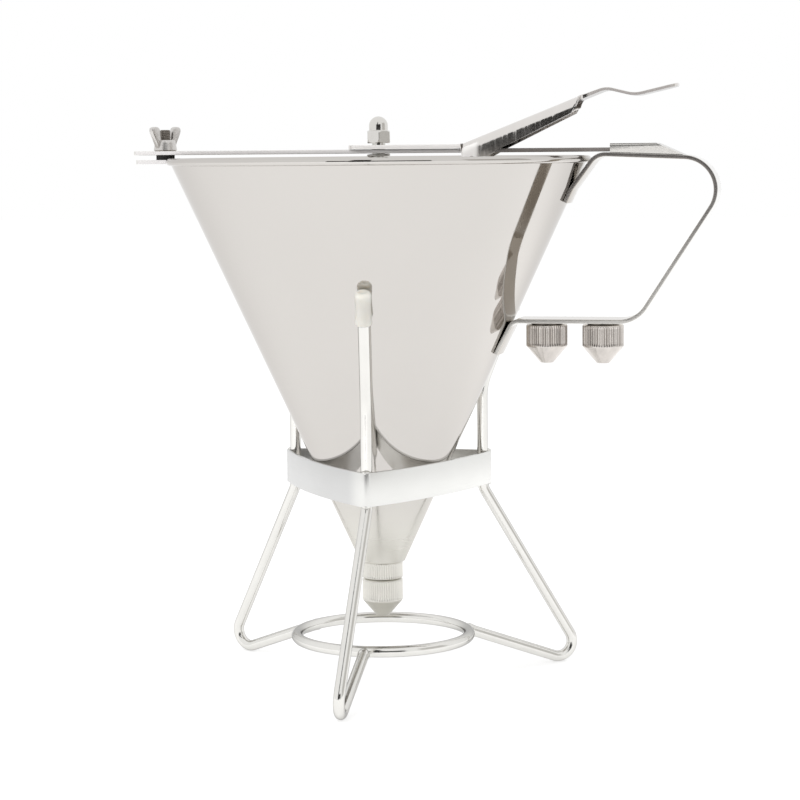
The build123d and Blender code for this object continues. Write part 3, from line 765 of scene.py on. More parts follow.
lip_h = 4.0
lip_gap = 0.05
lip_wall = 1.2
lip_r = outlet_r - sheet_across - lip_gap
lip_top = outlet_z + lip_h
lip_top_r = lip_r + lip_h * cone_slope
seat_top_r = lip_top_r - lip_wall
collar_outline = [
    (flow_r, thread_z),
    (thread_r - edge_break, thread_z),
    (thread_r, thread_z + edge_break),
    (thread_r, collar_z),
    (collar_r - edge_break, collar_z),
]
collar_outline += rungs((collar_r, collar_z + edge_break), (collar_r, collar_top), 12)
collar_outline += [
    (collar_r, collar_top),
    (collar_r - 0.3, outlet_z - 0.15),
    (lip_r, outlet_z),
    (lip_top_r, lip_top),
    (seat_top_r, lip_top),
    (flow_r, lip_top - (seat_top_r - flow_r)),
]
collar_grip = knurl(collar_r, collar_z + 0.6, outlet_z - 0.8, fade=0.4)
collar = lathe("knurled_collar", collar_outline, flute_segments, radius_at=collar_grip)
mark_grooves(collar, (0, 0), collar_r, collar_z + edge_break, collar_top)
settle(collar, "funnel", "turned_steel", "outlet_socket", sharp=50)

# %% [markdown]
# A nozzle is a knurled ring with a smooth cone below it, and it screws onto the collar's thread. The three
# could be copies of one mesh, but their holes differ, so each is turned from its own outline. The depth of
# the flutes is written on the points, where the finish reads it to darken them with painted shade.

# %% Nozzles
nozzle_r = 9.15
nozzle_grip_h = 10.4
nozzle_h = 17.2
nozzle_tip_r = 2.75
nozzle_bore_r = 6.98
nozzle_bore_h = 9.0
nozzle_land_h = 1.6
nose_round = 0.9
hole_break = 0.2
spare_shade_jitter = 0.9
nozzle_holes = {"nozzle": 2.0, "spare_nozzle_inner": 1.5, "spare_nozzle_outer": 2.5}

for node, hole_r in nozzle_holes.items():
    low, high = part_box(node)
    axis = ((low.x + high.x) / 2 / MM, (low.y + high.y) / 2 / MM)
    top = high.z / MM
    grip_low = top - nozzle_grip_h + nose_round
    grip_high = top - edge_break
    nose_z = top - nozzle_h
    outline = [(nozzle_bore_r, top), (nozzle_r - edge_break, top)]
    outline += rungs((nozzle_r, grip_high), (nozzle_r, grip_low), 14)
    outline += arc((nozzle_r - nose_round, grip_low), nose_round, 0, -44, 5)
    outline += [
        (nozzle_tip_r + 0.35, nose_z + 0.25),
        (nozzle_tip_r, nose_z),
        (hole_r + hole_break, nose_z),
        (hole_r, nose_z + hole_break),
        (hole_r, nose_z + nozzle_land_h),
        (nozzle_bore_r, top - nozzle_bore_h),
    ]
    grip = knurl(nozzle_r, grip_low, grip_high, fade=0.5)
    turned = lathe(f"{node}_turned", outline, flute_segments, axis, grip)
    spare = node != "nozzle"
    mark_grooves(turned, axis, nozzle_r, grip_low, grip_high, spare_shade_jitter if spare else 0.0)
    settle(turned, node, "turned_steel", node, sharp=50, finish="spare_steel" if spare else None)

# %% [markdown]
# Strips and plates are drawn as flat outlines. A mesh could be extruded and bevelled step by step, but a
# curve object does it in one go: Blender fills the outline, extrudes it and rounds its edges, and an inner
# loop becomes a hole. The curve is then turned into a mesh, because a piece that moves with a body needs
# final points.

# %% Plate from an outline
side_on = Matrix(((1, 0, 0, 0), (0, 0, 1, 0), (0, 1, 0, 0), (0, 0, 0, 1)))


def plate(name, loops, thickness, rounding, placing):
    """Fill a set of closed loops in millimetres, with a thickness and rounded edges."""
    curve = bpy.data.curves.new(name, "CURVE")
    curve.dimensions = "2D"
    curve.fill_mode = "BOTH"
    curve.extrude = (thickness / 2 - rounding) * MM
    curve.bevel_depth = rounding * MM
    curve.bevel_resolution = 2
    curve.offset = -rounding * MM
    for loop in loops:
        spline = curve.splines.new("POLY")
        spline.points.add(len(loop) - 1)
        for point, (x, y) in zip(spline.points, loop):
            point.co = (x * MM, y * MM, 0, 1)
        spline.use_cyclic_u = True
    drawn = put_in_scene(name + "_curve", curve)
    bpy.context.view_layer.update()
    mesh = bpy.data.meshes.new_from_object(drawn.evaluated_get(bpy.context.evaluated_depsgraph_get()))
    bpy.data.objects.remove(drawn)
    mesh.name = name
    mesh.transform(placing)
    return put_in_scene(name, mesh)


def bend_line(points, radii, step=4.0):
    """A line through points whose corners are bent to radii, as closely spaced points."""
    line = [Vector(points[0])]
    for before, corner, after, radius in zip(points, points[1:], points[2:], radii):
        back = (Vector(before) - Vector(corner)).normalized()
        ahead = (Vector(after) - Vector(corner)).normalized()
        half = back.angle(ahead) / 2
        middle = Vector(corner) + (back + ahead).normalized() * (radius / sin(half))
        first = Vector(corner) + back * (radius / tan(half)) - middle
        turn = pi - 2 * half
        if back.x * ahead.y - back.y * ahead.x > 0:
            turn = -turn
        count = max(2, round(abs(turn) * 180 / pi / step))
        for i in range(count + 1):
            a = turn * i / count
            x = first.x * cos(a) - first.y * sin(a)
            y = first.x * sin(a) + first.y * cos(a)
            line.append(middle + Vector((x, y)))
    line.append(Vector(points[-1]))
    return line


def strip_loop(line, thickness):
    """The closed outline of a strip that follows a line."""
    sides = []
    for i, point in enumerate(line):
        ahead = line[min(i + 1, len(line) - 1)] - point
        behind = point - line[max(i - 1, 0)]
        way = (ahead.normalized() + behind.normalized()).normalized()
        sides.append(Vector((-way.y, way.x)) * thickness / 2)
    left = [p + s for p, s in zip(line, sides)]
    right = [p - s for p, s in zip(line, sides)]
    return [tuple(p) for p in left + right[::-1]]


print("a square bend takes", len(bend_line([(0, 0), (9, 0), (9, 9)], [3.0])) - 2, "points")

# %% [markdown]
# The handle is one strip: it leaves the cone under the rim, runs out, folds round at its far end, comes
# back along the spare nozzles and turns down onto the cone again. A straight box could be bent by
# modifiers, but from the side the strip is just a line with round bends, so that line is drawn and made a
# plate. Its two flanges are then moved, point by point, to lie on the round cone.

# %% Handle
strip_t = 1.8
handle_w = 20.5
handle_round = 0.4
handle_radii = [8.0, 8.0, 14.2, 14.0, 4.0]
handle_lean = radians(32.8)
handle_drop = radians(2.4)
strip_gap = 0.1
strip_off = (strip_t / 2 + strip_gap) / cos(cone_angle)
handle_top = (rim_r + 3.9, bead_z + 2.1)
handle_low_z = bead_z - 71.3
half_fold = (pi / 2 + handle_lean - handle_drop) / 2
fold_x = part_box("handle")[1].x / MM - strip_t / 2 + handle_radii[2] * (tan(half_fold) - 1)
fold_z = handle_top[1] - tan(handle_drop) * (fold_x - handle_top[0])
flange_end = bead_z - 19.0
slices = range(-9, 10, 2)
upper_hug = (handle_top[1] - 4, 12)
lower_hug = (handle_low_z - 1, 5)
hug_reach = (9.0, 5)
upper_hug_end = flange_end - 2


def on_cone(z):
    """A point of the strip's middle line where it lies on the cone."""
    return cone_r(z) + strip_off, z


handle_points = [
    on_cone(flange_end),
    on_cone(bead_z - 13.0),
    handle_top,
    (fold_x, fold_z),
    (fold_x - (fold_z - handle_low_z) * tan(handle_lean), handle_low_z),
    on_cone(handle_low_z),
    on_cone(handle_low_z - 14.7),
]
handle_loop = strip_loop(bend_line(handle_points, handle_radii), strip_t)
handle_strip = plate("handle_strip", [handle_loop], handle_w, handle_round, side_on)


def hug(x, y, z):
    """How far a flange is bent inwards so that it lies on the round cone."""
    high_share = held((upper_hug[0] - z) / upper_hug[1]) if z > upper_hug_end else 0.0
    low_share = held((lower_hug[0] - z) / lower_hug[1])
    radius = cone_r(z)
    share = max(high_share, low_share) * held((hug_reach[0] - (x - radius)) / hug_reach[1])
    return share * (radius - sqrt(max(0.0, radius**2 - y**2)))


shape = bmesh.new()
shape.from_mesh(handle_strip.data)
for y in slices:
    geometry = shape.verts[:] + shape.edges[:] + shape.faces[:]
    bmesh.ops.bisect_plane(shape, geom=geometry, plane_co=(0, y * MM, 0), plane_no=(0, 1, 0))
shape.to_mesh(handle_strip.data)
shape.free()
for vertex in handle_strip.data.vertices:
    vertex.co.x -= hug(*(vertex.co / MM)) * MM
settle(handle_strip, "funnel", "handle_steel", "handle", sharp=50)

# %% [markdown]
# The bar across the mouth is a flat strip with rounded corners and two holes, one for the stud and one that
# guides the valve rod. A Boolean could cut the holes, but as inner loops of the plate they get rounded
# edges as well.

# %% Bridge bar
bar_low, bar_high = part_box("bridge_bar")
bar_t = (bar_high.z - bar_low.z) / MM
bar_top = bar_high.z / MM
bar_corner = 3.0
plate_round = 0.3
stud_low, stud_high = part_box("clamp_stud")
stud_x = (stud_low.x + stud_high.x) / 2 / MM
stud_hole_r = 2.65
rod_r = 3.0
rod_gap = 0.08


def rounded_box(low, high, radius):
    """Outline of a rectangle with round corners."""
    loop = []
    for (x, y), start in (
        ((high[0] - radius, high[1] - radius), 0),
        ((low[0] + radius, high[1] - radius), 90),
        ((low[0] + radius, low[1] + radius), 180),
        ((high[0] - radius, low[1] + radius), 270),
    ):
        loop += arc((x, y), radius, start, start + 90, 8)
    return loop


def ring(centre, radius, steps=48):
    """Outline of a round hole."""
    return arc(centre, radius, 0, 360, steps)[:-1]


bar_loops = [
    rounded_box(bar_low / MM, bar_high / MM, bar_corner),
    ring((0, 0), rod_r + rod_gap),
    ring((stud_x, 0), stud_hole_r),
]
bar_place = Matrix.Translation((0, 0, (bar_low.z + bar_high.z) / 2))
bar_strip = plate("bridge_strip", bar_loops, bar_t, plate_round, bar_place)
settle(bar_strip, "funnel", "handle_steel", "bridge_bar", sharp=50, finish="bar_steel")

# %% [markdown]
# The keeper on the handle is folded from sheet, and its walls lean in towards the handle. That small lean
# is what makes them bright: they mirror the pale floor, and only the bend above them still shows the dark
# room. It could be drawn anew, but the CAD node has its folds already, so its points are taken over and
# only the walls are moved.

# %% Bridge keeper
keeper_lean = 0.65
keeper_round = 1.2
keeper_low, keeper_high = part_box("bridge_keeper")
keeper_node = frame["nodes"]["bridge_keeper"]
keeper_bend_z = keeper_high.z / MM - keeper_round
keeper_outside = keeper_high.y / MM - keeper_round / 2
keeper_points = []
for vertex in keeper_node.data.vertices:
    x, y, z = keeper_node.matrix_world @ vertex.co / MM
    if abs(y) > keeper_outside and z < keeper_bend_z:
        y *= 1 - keeper_lean / abs(y) * (keeper_bend_z - z) / (keeper_bend_z - keeper_low.z / MM)
    keeper_points.append(Vector((x, y, z)) * MM)
keeper_faces = [tuple(face.vertices) for face in keeper_node.data.polygons]
keeper_pocket = new_object("keeper_pocket", keeper_points, keeper_faces)
settle(keeper_pocket, "funnel", "handle_steel", "bridge_keeper", sharp=30, finish="keeper_steel")

# %% [markdown]
# The lever is a pressing. Its cross-section changes along its length: a flat tongue over the rod, ears that
# reach down to the pivot pin, a channel with round shoulders, and a narrower curved strip for the thumb. A
# plate has the same section all along, so the lever is lofted: one closed section after another along x,
# and faces between them.

# %% Lever sections
lever_t = 1.8
lever_low, lever_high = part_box("lever")
lever_half_w = lever_high.y / MM
lever_gap = 0.1
lever_mid = bar_top + lever_gap + lever_t / 2
lever_front = lever_low.x / MM
lever_inset = 0.3
lever_tip = lever_high.x / MM - lever_inset
lever_bend_x = 38.7
lever_rise = radians(21.5)
lever_end_x = 92.0
lever_end_z = lever_mid + (lever_end_x - lever_bend_x) * tan(lever_rise)
lever_round = 5.0
lever_edge = 0.35
shoulder = 4.6
pivot = ((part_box("pivot_pin")[0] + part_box("pivot_pin")[1]) / 2 / MM).xz
ear_r = 4.3
flange_low_run = [(57.0, bar_top), (88.0, lever_end_z - 7.0), (91.0, lever_end_z - 1.9)]
flange_grow = 2.0
thumb_half_w = 8.0
thumb_thin = 0.5
thumb_run = 6.0
thumb_bends = [(10.8, 4.1), (23.5, 1.0), (42.0, 5.25)]
narrow_start = lever_end_x - 3
narrow_run = 5
spine_points = [(lever_front, lever_mid), (lever_bend_x, lever_mid)]
spine_points += [(lever_end_x + x, lever_end_z + z) for x, z in thumb_bends]
spine = bend_line(spine_points, [10.0, 9.0, 14.0])


def along(line, x):
    """Height and slope of a line at x, and of its first or last run beyond its ends."""
    for a, b in zip(line, line[1:]):
        if x <= b[0]:
            break
    slope = (b[1] - a[1]) / (b[0] - a[0])
    return a[1] + (x - a[0]) * slope, slope


def both_sides(half_loop):
    """A line from one side to the middle, carried on to the other side."""
    return half_loop + [(-y, z) for y, z in half_loop[-2::-1]]


def lever_half_width(x):
    """Half the lever's width: round at its front and at the thumb's tip, narrower past the channel."""
    share = held((x - narrow_start) / narrow_run)
    width = lever_half_w + (thumb_half_w - lever_half_w) * share * share * (3 - 2 * share)
    for end in (lever_front, lever_tip):
        inset = lever_round - min(lever_round, abs(x - end))
        width -= lever_round - sqrt(max(0.0, lever_round**2 - inset * inset))
    return width


def flange_low(x, roof):
    """Lower edge of the lever's side walls at x."""
    if x < pivot.x - ear_r or x > flange_low_run[-1][0]:
        return roof
    if x < pivot.x + ear_r:
        return min(roof, pivot.y - sqrt(max(0.0, ear_r**2 - (x - pivot.x) ** 2)))
    ear_edge = (pivot.x + ear_r, pivot.y)
    return min(roof, along([ear_edge, *flange_low_run], x)[0])


def lever_section(x):
    """One closed section of the pressing, as points in metres."""
    middle, slope = along(spine, x)
    thick = lever_t * sqrt(1 + slope * slope)
    worn = held((x - lever_end_x) / thumb_run)
    top, roof = middle + thick / 2 - thumb_thin * worn, middle - thick / 2
    half = lever_half_width(x)
    low = flange_low(x, roof)
    deep = min(1.0, (roof - low) / flange_grow)
    outer = lever_edge + (shoulder - lever_edge) * deep
    inner = (shoulder - lever_t) * deep
    outline = [(half, low), (half, low + (top - outer - low) * 0.5)]
    outline += arc((half - outer, top - outer), outer, 0, 90, 6)
    outline += [((half - outer) * k, top) for k in (0.5, 0.0)]
    inside = [(half - lever_t, low), (half - lever_t, low + (roof - inner - low) * 0.5)]
    inside += arc((half - lever_t - inner, roof - inner), inner, 0, 90, 4)
    inside += [(0.0, roof)]
    whole = both_sides(outline) + both_sides(inside)[::-1]
    return [(x * MM, y * MM, z * MM) for y, z in whole]


print("lever", round(lever_front, 1), "to", round(lever_tip, 1), "mm, pivot", [round(v, 1) for v in pivot])

# %% [markdown]
# The sections stand closest where the shape changes: at the round front, at the ears and at the end of the
# channel. The slot for the rod and the hole for the pin could be left out of the sections, but a section
# through a hole falls into two parts. So a Boolean cuts both from the finished skin.

# %% Lever piece
front_fine = 0.6
ear_edge_gap = 0.02
swing = radians(14.0)
slot_r = rod_r + 0.4
pin_hole_r = 1.52
pin_tool_w = 30.0


def loft(name, sections):
    """Faces between closed sections, with a cap at both ends."""
    count = len(sections[0])
    faces = skin_faces(len(sections), count, False, True)
    faces.append(tuple(range(count)))
    faces.append(tuple(range((len(sections) - 1) * count, len(sections) * count)))
    return new_object(name, [p for section in sections for p in section], faces)


def combine(piece, tool, operation):
    """Cut a tool out of a piece, or join it to the piece in one skin, and throw the tool away."""
    weld_mesh(piece)
    weld_mesh(tool)
    boolean = piece.modifiers.new("combine", "BOOLEAN")
    boolean.operation = operation
    boolean.solver = "EXACT"
    boolean.object = tool
    bpy.context.view_layer.update()
    graph = bpy.context.evaluated_depsgraph_get()
    mesh = bpy.data.meshes.new_from_object(piece.evaluated_get(graph))
    piece.modifiers.remove(boolean)
    piece.data = mesh
    bpy.data.objects.remove(tool)


stations = [lever_front + front_fine * i / 4 for i in range(4)]
stations += [lever_front + front_fine + (lever_round - front_fine) * i / 7 for i in range(8)]
stations += [0.0, 12.0, 24.0, 30.0]
stations += [p.x for p in spine if 30 < p.x < pivot.x - ear_r]
stations += [pivot.x - ear_r * cos(pi * i / 16) for i in range(17)]
stations += [pivot.x - ear_r + ear_edge_gap, pivot.x + ear_r - ear_edge_gap]
stations += [50.0, 53.0, 57.0, 62.0, 68.0, 74.0, 80.0, 84.0, 86.0, 88.0, 88.6, 89.2, 89.8, 90.4, 91.0]
stations += [91.5, 92.0, 92.7, 93.4, 94.2]
stations += [p.x for p in spine if 95.0 < p.x < lever_tip - lever_round]
stations += [lever_tip - lever_round * (1 - sin(pi / 2 * i / 8)) for i in range(9)]
stations = sorted(set(round(x, 4) for x in stations))
lever_pressing = loft("lever_pressing", [lever_section(x) for x in stations])

slot_run = (pivot.x + (lever_mid - pivot.y) * sin(swing)) / cos(swing) - pivot.x
slot_loop = arc((0, 0), slot_r, -90, 90, 16) + arc((-slot_run, 0), slot_r, 90, 270, 16)
slot_place = Matrix.Translation((0, 0, lever_mid * MM))
slot_tool = plate("slot_tool", [slot_loop], thickness=3 * lever_t, rounding=0.0, placing=slot_place)
combine(lever_pressing, slot_tool, "DIFFERENCE")
pin_tool = plate("pin_tool", [ring(pivot, pin_hole_r)], thickness=pin_tool_w, rounding=0.0, placing=side_on)
combine(lever_pressing, pin_tool, "DIFFERENCE")
settle(lever_pressing, "lever", "lever_steel", "lever", sharp=32)

# %% [markdown]
# The stud under the wing nut is threaded, and its tip shows. A bump could only shade a thread, so it is
# turned. A thread is a groove that climbs by one pitch in each turn, so the lathe's radius depends on
# height and angle together.

# %% Clamp stud
pitch = 0.8
thread_depth = 0.32
stud_r = 2.5
stud_base = stud_low.z / MM
stud_tip = stud_high.z / MM
stud_shoulder = stud_tip - edge_break


def stud_thread(turn, r, z):
    """Radius of the stud: a thread above the bar, and a plain tip."""
    if z < bar_top or r < stud_r - face_margin:
        return r
    climb = (z / pitch - turn / (2 * pi)) % 1.0
    return r - thread_depth * abs(2 * climb - 1)


stud_outline = [(0.0, stud_base), (stud_r, stud_base)]
stud_outline += rungs((stud_r, bar_top), (stud_r, stud_shoulder), 60)
stud_outline += [(stud_r - 0.15, stud_shoulder), (stud_r - edge_break, stud_tip), (0.0, stud_tip)]
threaded_stud = lathe(
    "threaded_stud", stud_outline, segments=48, axis=(stud_x, 0), radius_at=stud_thread, closed=False
)
settle(threaded_stud, "funnel", "fastener_steel", "clamp_stud", sharp=60, finish="dark_thread")

# %% [markdown]
# A wing nut is pressed or cast: a tapered hub and two wings with thick round edges. It could be sculpted,
# but its seat and its bore have to stay exact. So the hub is turned, the wings are plates with generous
# rounding, and a Boolean joins them into one skin.

# %% Wing nut
wing_turn = radians(62.0)
wing_t = 2.6
wing_round = 0.75
wing_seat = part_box("wing_nut")[0].z / MM
wing_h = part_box("wing_nut")[1].z / MM - wing_seat
wing_half_span = 9.3
hub_h = 5.0
hub_r, hub_top_r = 5.3, 4.3
hub_bore = 2.58
wing_outline = [(1.0, 0.6), (hub_r - 0.3, 0.6), (6.8, 4.2), (8.6, 7.4), (wing_half_span, 9.2)]
wing_outline += [(wing_half_span - 0.4, 10.6), (wing_half_span - 1.8, wing_h), (5.5, wing_h)]
wing_outline += [(4.3, 10.2), (3.8, 8.2), (3.6, 6.0), (3.4, 4.8), (1.0, 4.6)]
corner_cut = 0.25


def smooth_loop(loop, rounds=2):
    """Round a loop's corners by cutting each one twice."""
    for _ in range(rounds):
        finer = []
        for (ax, ay), (bx, by) in zip(loop, loop[1:] + loop[:1]):
            for share in (corner_cut, 1 - corner_cut):
                finer.append((ax * (1 - share) + bx * share, ay * (1 - share) + by * share))
        loop = finer
    return loop


hub_outline = [(0.0, 0.0), (hub_r - 0.5, 0.0), (hub_r, 0.5)]
hub_outline += rungs((hub_r, 0.5), (hub_top_r + 0.3, hub_h - 0.4), 4)[1:]
hub_outline += [(hub_top_r + 0.3, hub_h - 0.4), (hub_top_r - 0.1, hub_h), (0.0, hub_h)]
wing_place = Matrix.Translation((stud_x * MM, 0, wing_seat * MM)) @ Matrix.Rotation(wing_turn, 4, "Z")
wing_piece = lathe("wing_nut_cast", hub_outline, segments=64, closed=False)
for side in (1, -1):
    side_loop = [(side * x, z) for x, z in wing_outline][::side]
    combine(wing_piece, plate("wing", [smooth_loop(side_loop)], wing_t, wing_round, side_on), "UNION")
bore_outline = [(0.0, -1.0), (hub_bore, -1.0), (hub_bore, 12.0), (0.0, 12.0)]
combine(wing_piece, lathe("bore_tool", bore_outline, segments=48, closed=False), "DIFFERENCE")
wing_piece.data.transform(wing_place)
settle(wing_piece, "wing_nut", "fastener_steel", "wing_nut", sharp=38, finish="cast_steel")

# %% [markdown]
# The domed nut on the rod has six flats below a plain dome. A six-sided prism under half a ball would miss
# the bevels that catch the light. A lathe can make the nut: on the hexagon's part of the outline the radius
# follows the nearest flat, and a cone above and below takes the corners off.

# %% Cap nut
nut_low, nut_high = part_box("cap_nut")
nut_z = nut_low.z / MM
nut_top = nut_high.z / MM
nut_flat = 5.0
nut_face_r = nut_flat - 0.1
nut_corner = nut_flat / cos(pi / 6)
nut_turn = radians(-16.0)
nut_bevel = 0.75
hex_top = nut_z + 5.6
dome_r = 4.25
nut_bore = 3.03
nut_bore_top = nut_z + 8.5


def nut_radius(turn, r, z):
    """Radius of the nut: flats where the outline is wider than them, round elsewhere."""
    to_flat = (turn - nut_turn) % (pi / 3) - pi / 6
    return min(r, nut_flat / cos(to_flat))


nut_outline = [(0.0, nut_bore_top), (nut_bore, nut_bore_top), (nut_bore, nut_z), (nut_face_r, nut_z)]
nut_outline += rungs((nut_face_r, nut_z), (nut_corner, nut_z + nut_bevel), 4)[1:]
nut_outline += rungs((nut_corner, nut_z + nut_bevel), (nut_corner, hex_top - nut_bevel), 3)
nut_outline += rungs((nut_corner, hex_top - nut_bevel), (nut_face_r, hex_top), 4)
nut_outline += [(nut_face_r, hex_top), (dome_r + 0.2, hex_top + 0.1), (dome_r, hex_top + 0.3)]
nut_outline += arc((0, nut_top - dome_r), dome_r, 0, 90, 14)
domed_nut = lathe("domed_nut", nut_outline, segments=144, radius_at=nut_radius, closed=False)
settle(domed_nut, "valve", "fastener_steel", "cap_nut", sharp=24)

# %% [markdown]
# The return spring is a wound wire. A curve with a round bevel could draw it, but a tube function that
# carries a round section along a line of points gives a plain closed mesh. The spring gets closer turns at
# its two ends, as wound springs have.

# %% Spring
spring_low, spring_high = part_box("return_spring")
spring_wire_r = 0.55
coil_r = (spring_high.x - spring_low.x) / 2 / MM - spring_wire_r
coil_low = spring_low.z / MM + spring_wire_r
coil_high = spring_high.z / MM - spring_wire_r
coil_turns = 9.0
turn_steps = 28
end_share = 0.085
end_pace = 0.4


def tube(name, line, radius, sides=14):
    """A round wire along points in millimetres."""
    sections = []
    side = None
    for i, point in enumerate(line):
        ahead = line[min(i + 1, len(line) - 1)]
        behind = line[max(i - 1, 0)]
        way = (Vector(ahead) - Vector(behind)).normalized()
        if side is None:
            side = way.orthogonal().normalized()
        side = (side - way * side.dot(way)).normalized()
        other = way.cross(side)
        turns = [2 * pi * k / sides for k in range(sides)]
        sections.append([(Vector(point) + (side * cos(a) + other * sin(a)) * radius) * MM for a in turns])
    return loft(name, sections)


def coil_height(share):
    """Height along the spring: slow at both ends, even between."""
    if share < end_share:
        return end_pace * share * share / end_share
    if share > 1 - end_share:
        return 1 - end_pace * (1 - share) ** 2 / end_share
    even_pace = (1 - 2 * end_pace * end_share) / (1 - 2 * end_share)
    return end_pace * end_share + (share - end_share) * even_pace


coil_line = []
for step in range(int(coil_turns * turn_steps) + 1):
    share = step / (coil_turns * turn_steps)
    turn = 2 * pi * coil_turns * share
    height = coil_low + (coil_high - coil_low) * coil_height(share)
    coil_line.append((coil_r * cos(turn), coil_r * sin(turn), height))
spring_coil = tube("spring_coil", coil_line, spring_wire_r)
settle(spring_coil, "funnel", "spring_steel", "return_spring")
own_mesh(spring_coil)

# %% [markdown]
# The stand's band is a strip bent round the three posts. Its sides are bowed a little, and its corners wrap
# the wires. A straight strip could be bent along a curve, but its thickness would suffer in the corners. So
# two loops, the outer and the inner face, make one plate that is as thick as the band is high.

# %% Seat band
post_r = 50.5
wire_r = 2.5
band_bow = 5.0
band_t = 1.4
nest_gap = 0.2
nest_r = wire_r + nest_gap
foot_angles = {"front": -90.0, "right": 30.0, "left": 150.0}
stand_twist = 4.5
tip_twist = 1.8
post_angles = {name: angle + stand_twist for name, angle in foot_angles.items()}
band_low, band_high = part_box("seat_band")
corner_half = radians(30) + 2 * atan(2 * band_bow / (post_r * sqrt(3)))
band_corner_r = post_r + nest_r / sin(corner_half)
side_r = (band_corner_r**2 * 0.75 + band_bow**2) / (2 * band_bow)
side_centre = side_r - band_corner_r / 2 - band_bow


def polar(r, angle):
    """A point at a radius and an angle in degrees."""
    return Vector((r * cos(radians(angle)), r * sin(radians(angle))))


def bearing(start, end):
    """The direction from one point to another, in degrees."""
    return degrees(atan2(end.y - start.y, end.x - start.x))


def band_loop(grow):
    """The band's outline, moved outwards by an amount from its inner face."""
    loop = []
    for angle in post_angles.values():
        post = polar(post_r, angle)
        centres = [polar(-side_centre, angle + turn) for turn in (-60, 60)]
        starts = [bearing(centre, post) for centre in centres]
        bend = (starts[1] - starts[0]) % 360
        loop += arc(post, nest_r + grow, starts[0], starts[0] + bend, 10)
        sweep = (bearing(centres[1], polar(post_r, angle + 120)) - starts[1]) % 360
        loop += arc(centres[1], side_r + grow, starts[1], starts[1] + sweep, 16)[1:-1]
    return loop


band_place = Matrix.Translation((0, 0, (band_low.z + band_high.z) / 2))
band_height = (band_high.z - band_low.z) / MM
band_strip = plate("seat_strip", [band_loop(band_t), band_loop(0)], band_height, plate_round, band_place)
settle(band_strip, "stand", "chrome_strip", "seat_band", sharp=50)

# %% [markdown]
# The wires are welded: each leg meets the base ring end on, with a small collar of weld metal, and each
# post has a spot of weld inside its corner of the band. A smooth ball or ring would look like a bead. Welds
# are lumpy under the chrome, so noise pushes the points of turned pieces about.

# %% Welds
ring_r = 39.4
ring_z = (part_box("base_ring")[0].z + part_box("base_ring")[1].z) / 2 / MM
weld_start = 1.4
weld_reach = 2.6
weld_size = 0.35
weld_steps = 12
weld_sink = 0.1
ring_sink = 0.2
weld_lumps = (2.4, 0.07)
leg_fall = radians(20.1)
spot_r = 1.9
spot_half_h = 1.05
spot_lumps = (1.6, 0.25)
spot_inset = 0.1


def lumpy_lathe(name, outline, segments, lumps, placing):
    """A turned piece moved to its place, with lumps of a size and a depth in millimetres."""
    piece = lathe(name, outline, segments, closed=False)
    weld_mesh(piece, sharp=60)
    size, depth = lumps
    normals = [v.normal.copy() for v in piece.data.vertices]
    for vertex, normal in zip(piece.data.vertices, normals):
        vertex.co += normal * noise.noise(vertex.co / (size * MM)) * depth * MM
    piece.data.transform(placing)
    return piece


def stand_up(place, way):
    """Placing that moves a turned piece's base to a place in millimetres and its axis along a way."""
    return Matrix.Translation(place * MM) @ way.to_track_quat("Z", "Y").to_matrix().to_4x4()


def ring_weld(name, angle):
    """A collar of weld where a leg meets the base ring."""
    outline = [(0.0, -weld_start)]
    for i in range(weld_steps + 1):
        swell = weld_size * sin(pi * i / weld_steps)
        climb = (weld_start + weld_reach) * i / weld_steps
        outline.append((wire_r - weld_sink + swell, -weld_start + climb))
    outline += [(0.0, weld_reach)]
    out = Vector((*polar(cos(leg_fall), angle), -sin(leg_fall)))
    place = Vector((*polar(ring_r, angle), ring_z)) + out * (wire_r - ring_sink)
    piece = lumpy_lathe(name, outline, segments=40, lumps=weld_lumps, placing=stand_up(place, out))
    settle(piece, "stand", "chrome_wire", sharp=75)


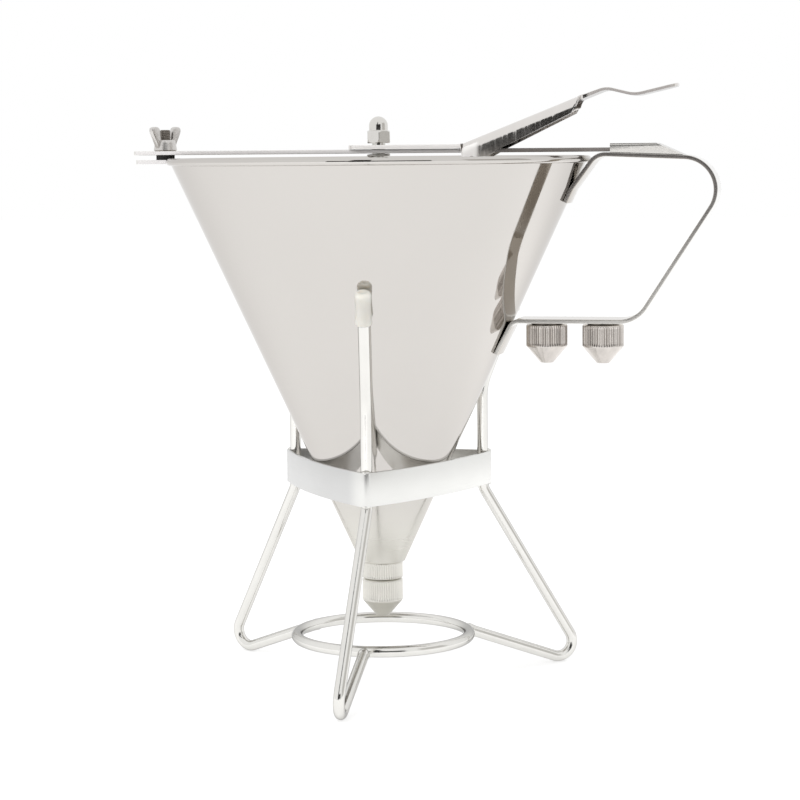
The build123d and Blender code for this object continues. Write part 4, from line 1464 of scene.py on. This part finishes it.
def band_weld(name, angle, z):
    """A spot of weld between a post and the inside of the band's corner."""
    outline = [(spot_r * x, spot_half_h * y) for x, y in arc((0, 0), 1, -90, 90, weld_steps)]
    place = Vector((*polar(post_r + wire_r - spot_inset, angle), z))
    placing = Matrix.Translation(place * MM) @ Matrix.Rotation(radians(angle), 4, "Z")
    piece = lumpy_lathe(name, outline, segments=28, lumps=spot_lumps, placing=placing)
    settle(piece, "stand", "chrome_wire", sharp=75)


for name, angle in post_angles.items():
    ring_weld(f"ring_weld_{name}", foot_angles[name])
    band_weld(f"band_weld_top_{name}", angle, band_high.z / MM - spot_inset)
    band_weld(f"band_weld_low_{name}", angle, band_low.z / MM + spot_inset)

# %% [markdown]
# A vinyl sleeve is pushed over each wire tip. Such sleeves are dipped: they have a thick round end with a
# slight dimple, a soft waist, and a lip where they were rolled off their former. A cylinder with a bevel
# would look machined, so the lathe gets the whole outline, from the tip down the outside and up the inside,
# and a little of the welds' noise.

# %% Tip caps
cap_r = 3.75
cap_top = 1.5
cap_low = cap_top - 15.5
cap_bore = wire_r + 0.05
cap_end_r = 1.75
cap_lumps = (3.5, 0.12)
cap_segments = 40
cap_dimple = [(0.0, 0.45), (0.8, 0.4), (1.5, 0.1)]
cap_waist = [(0.26, 3.8), (0.40, 6.2), (0.38, 9.2), (0.22, 12.2)]
cap_lip = [(0.06, 1.4), (0.0, 0.8), (0.12, 0.2), (0.5, 0.0)]
cap_gap = 0.3
post_off = (cap_r + cap_gap) / cos(cone_angle)
post_bend_z = outlet_z + (post_r - post_off - outlet_r) / cone_slope
tip_z = 179.0
tip_r = cone_r(tip_z) + post_off

cap_outline = [(r, cap_top - down) for r, down in cap_dimple]
cap_outline += arc((cap_r - 1.9, cap_top - cap_end_r), cap_end_r, 80, 0, 8)
cap_outline += [(cap_r - inset, cap_top - down) for inset, down in cap_waist]
cap_outline += [(cap_r - inset, cap_low + rise) for inset, rise in cap_lip]
cap_outline += [(cap_bore, cap_low + 0.25), (cap_bore, -0.1), (0.0, -0.1)]
for name, angle in post_angles.items():
    tip = Vector((*polar(tip_r, angle + tip_twist), tip_z))
    lean = tip - Vector((*polar(post_r, angle), post_bend_z))
    cap = lumpy_lathe(f"vinyl_cap_{name}", cap_outline, cap_segments, cap_lumps, stand_up(tip, lean))
    settle(cap, "stand", "pale_vinyl", f"tip_cap_{name}", sharp=60)
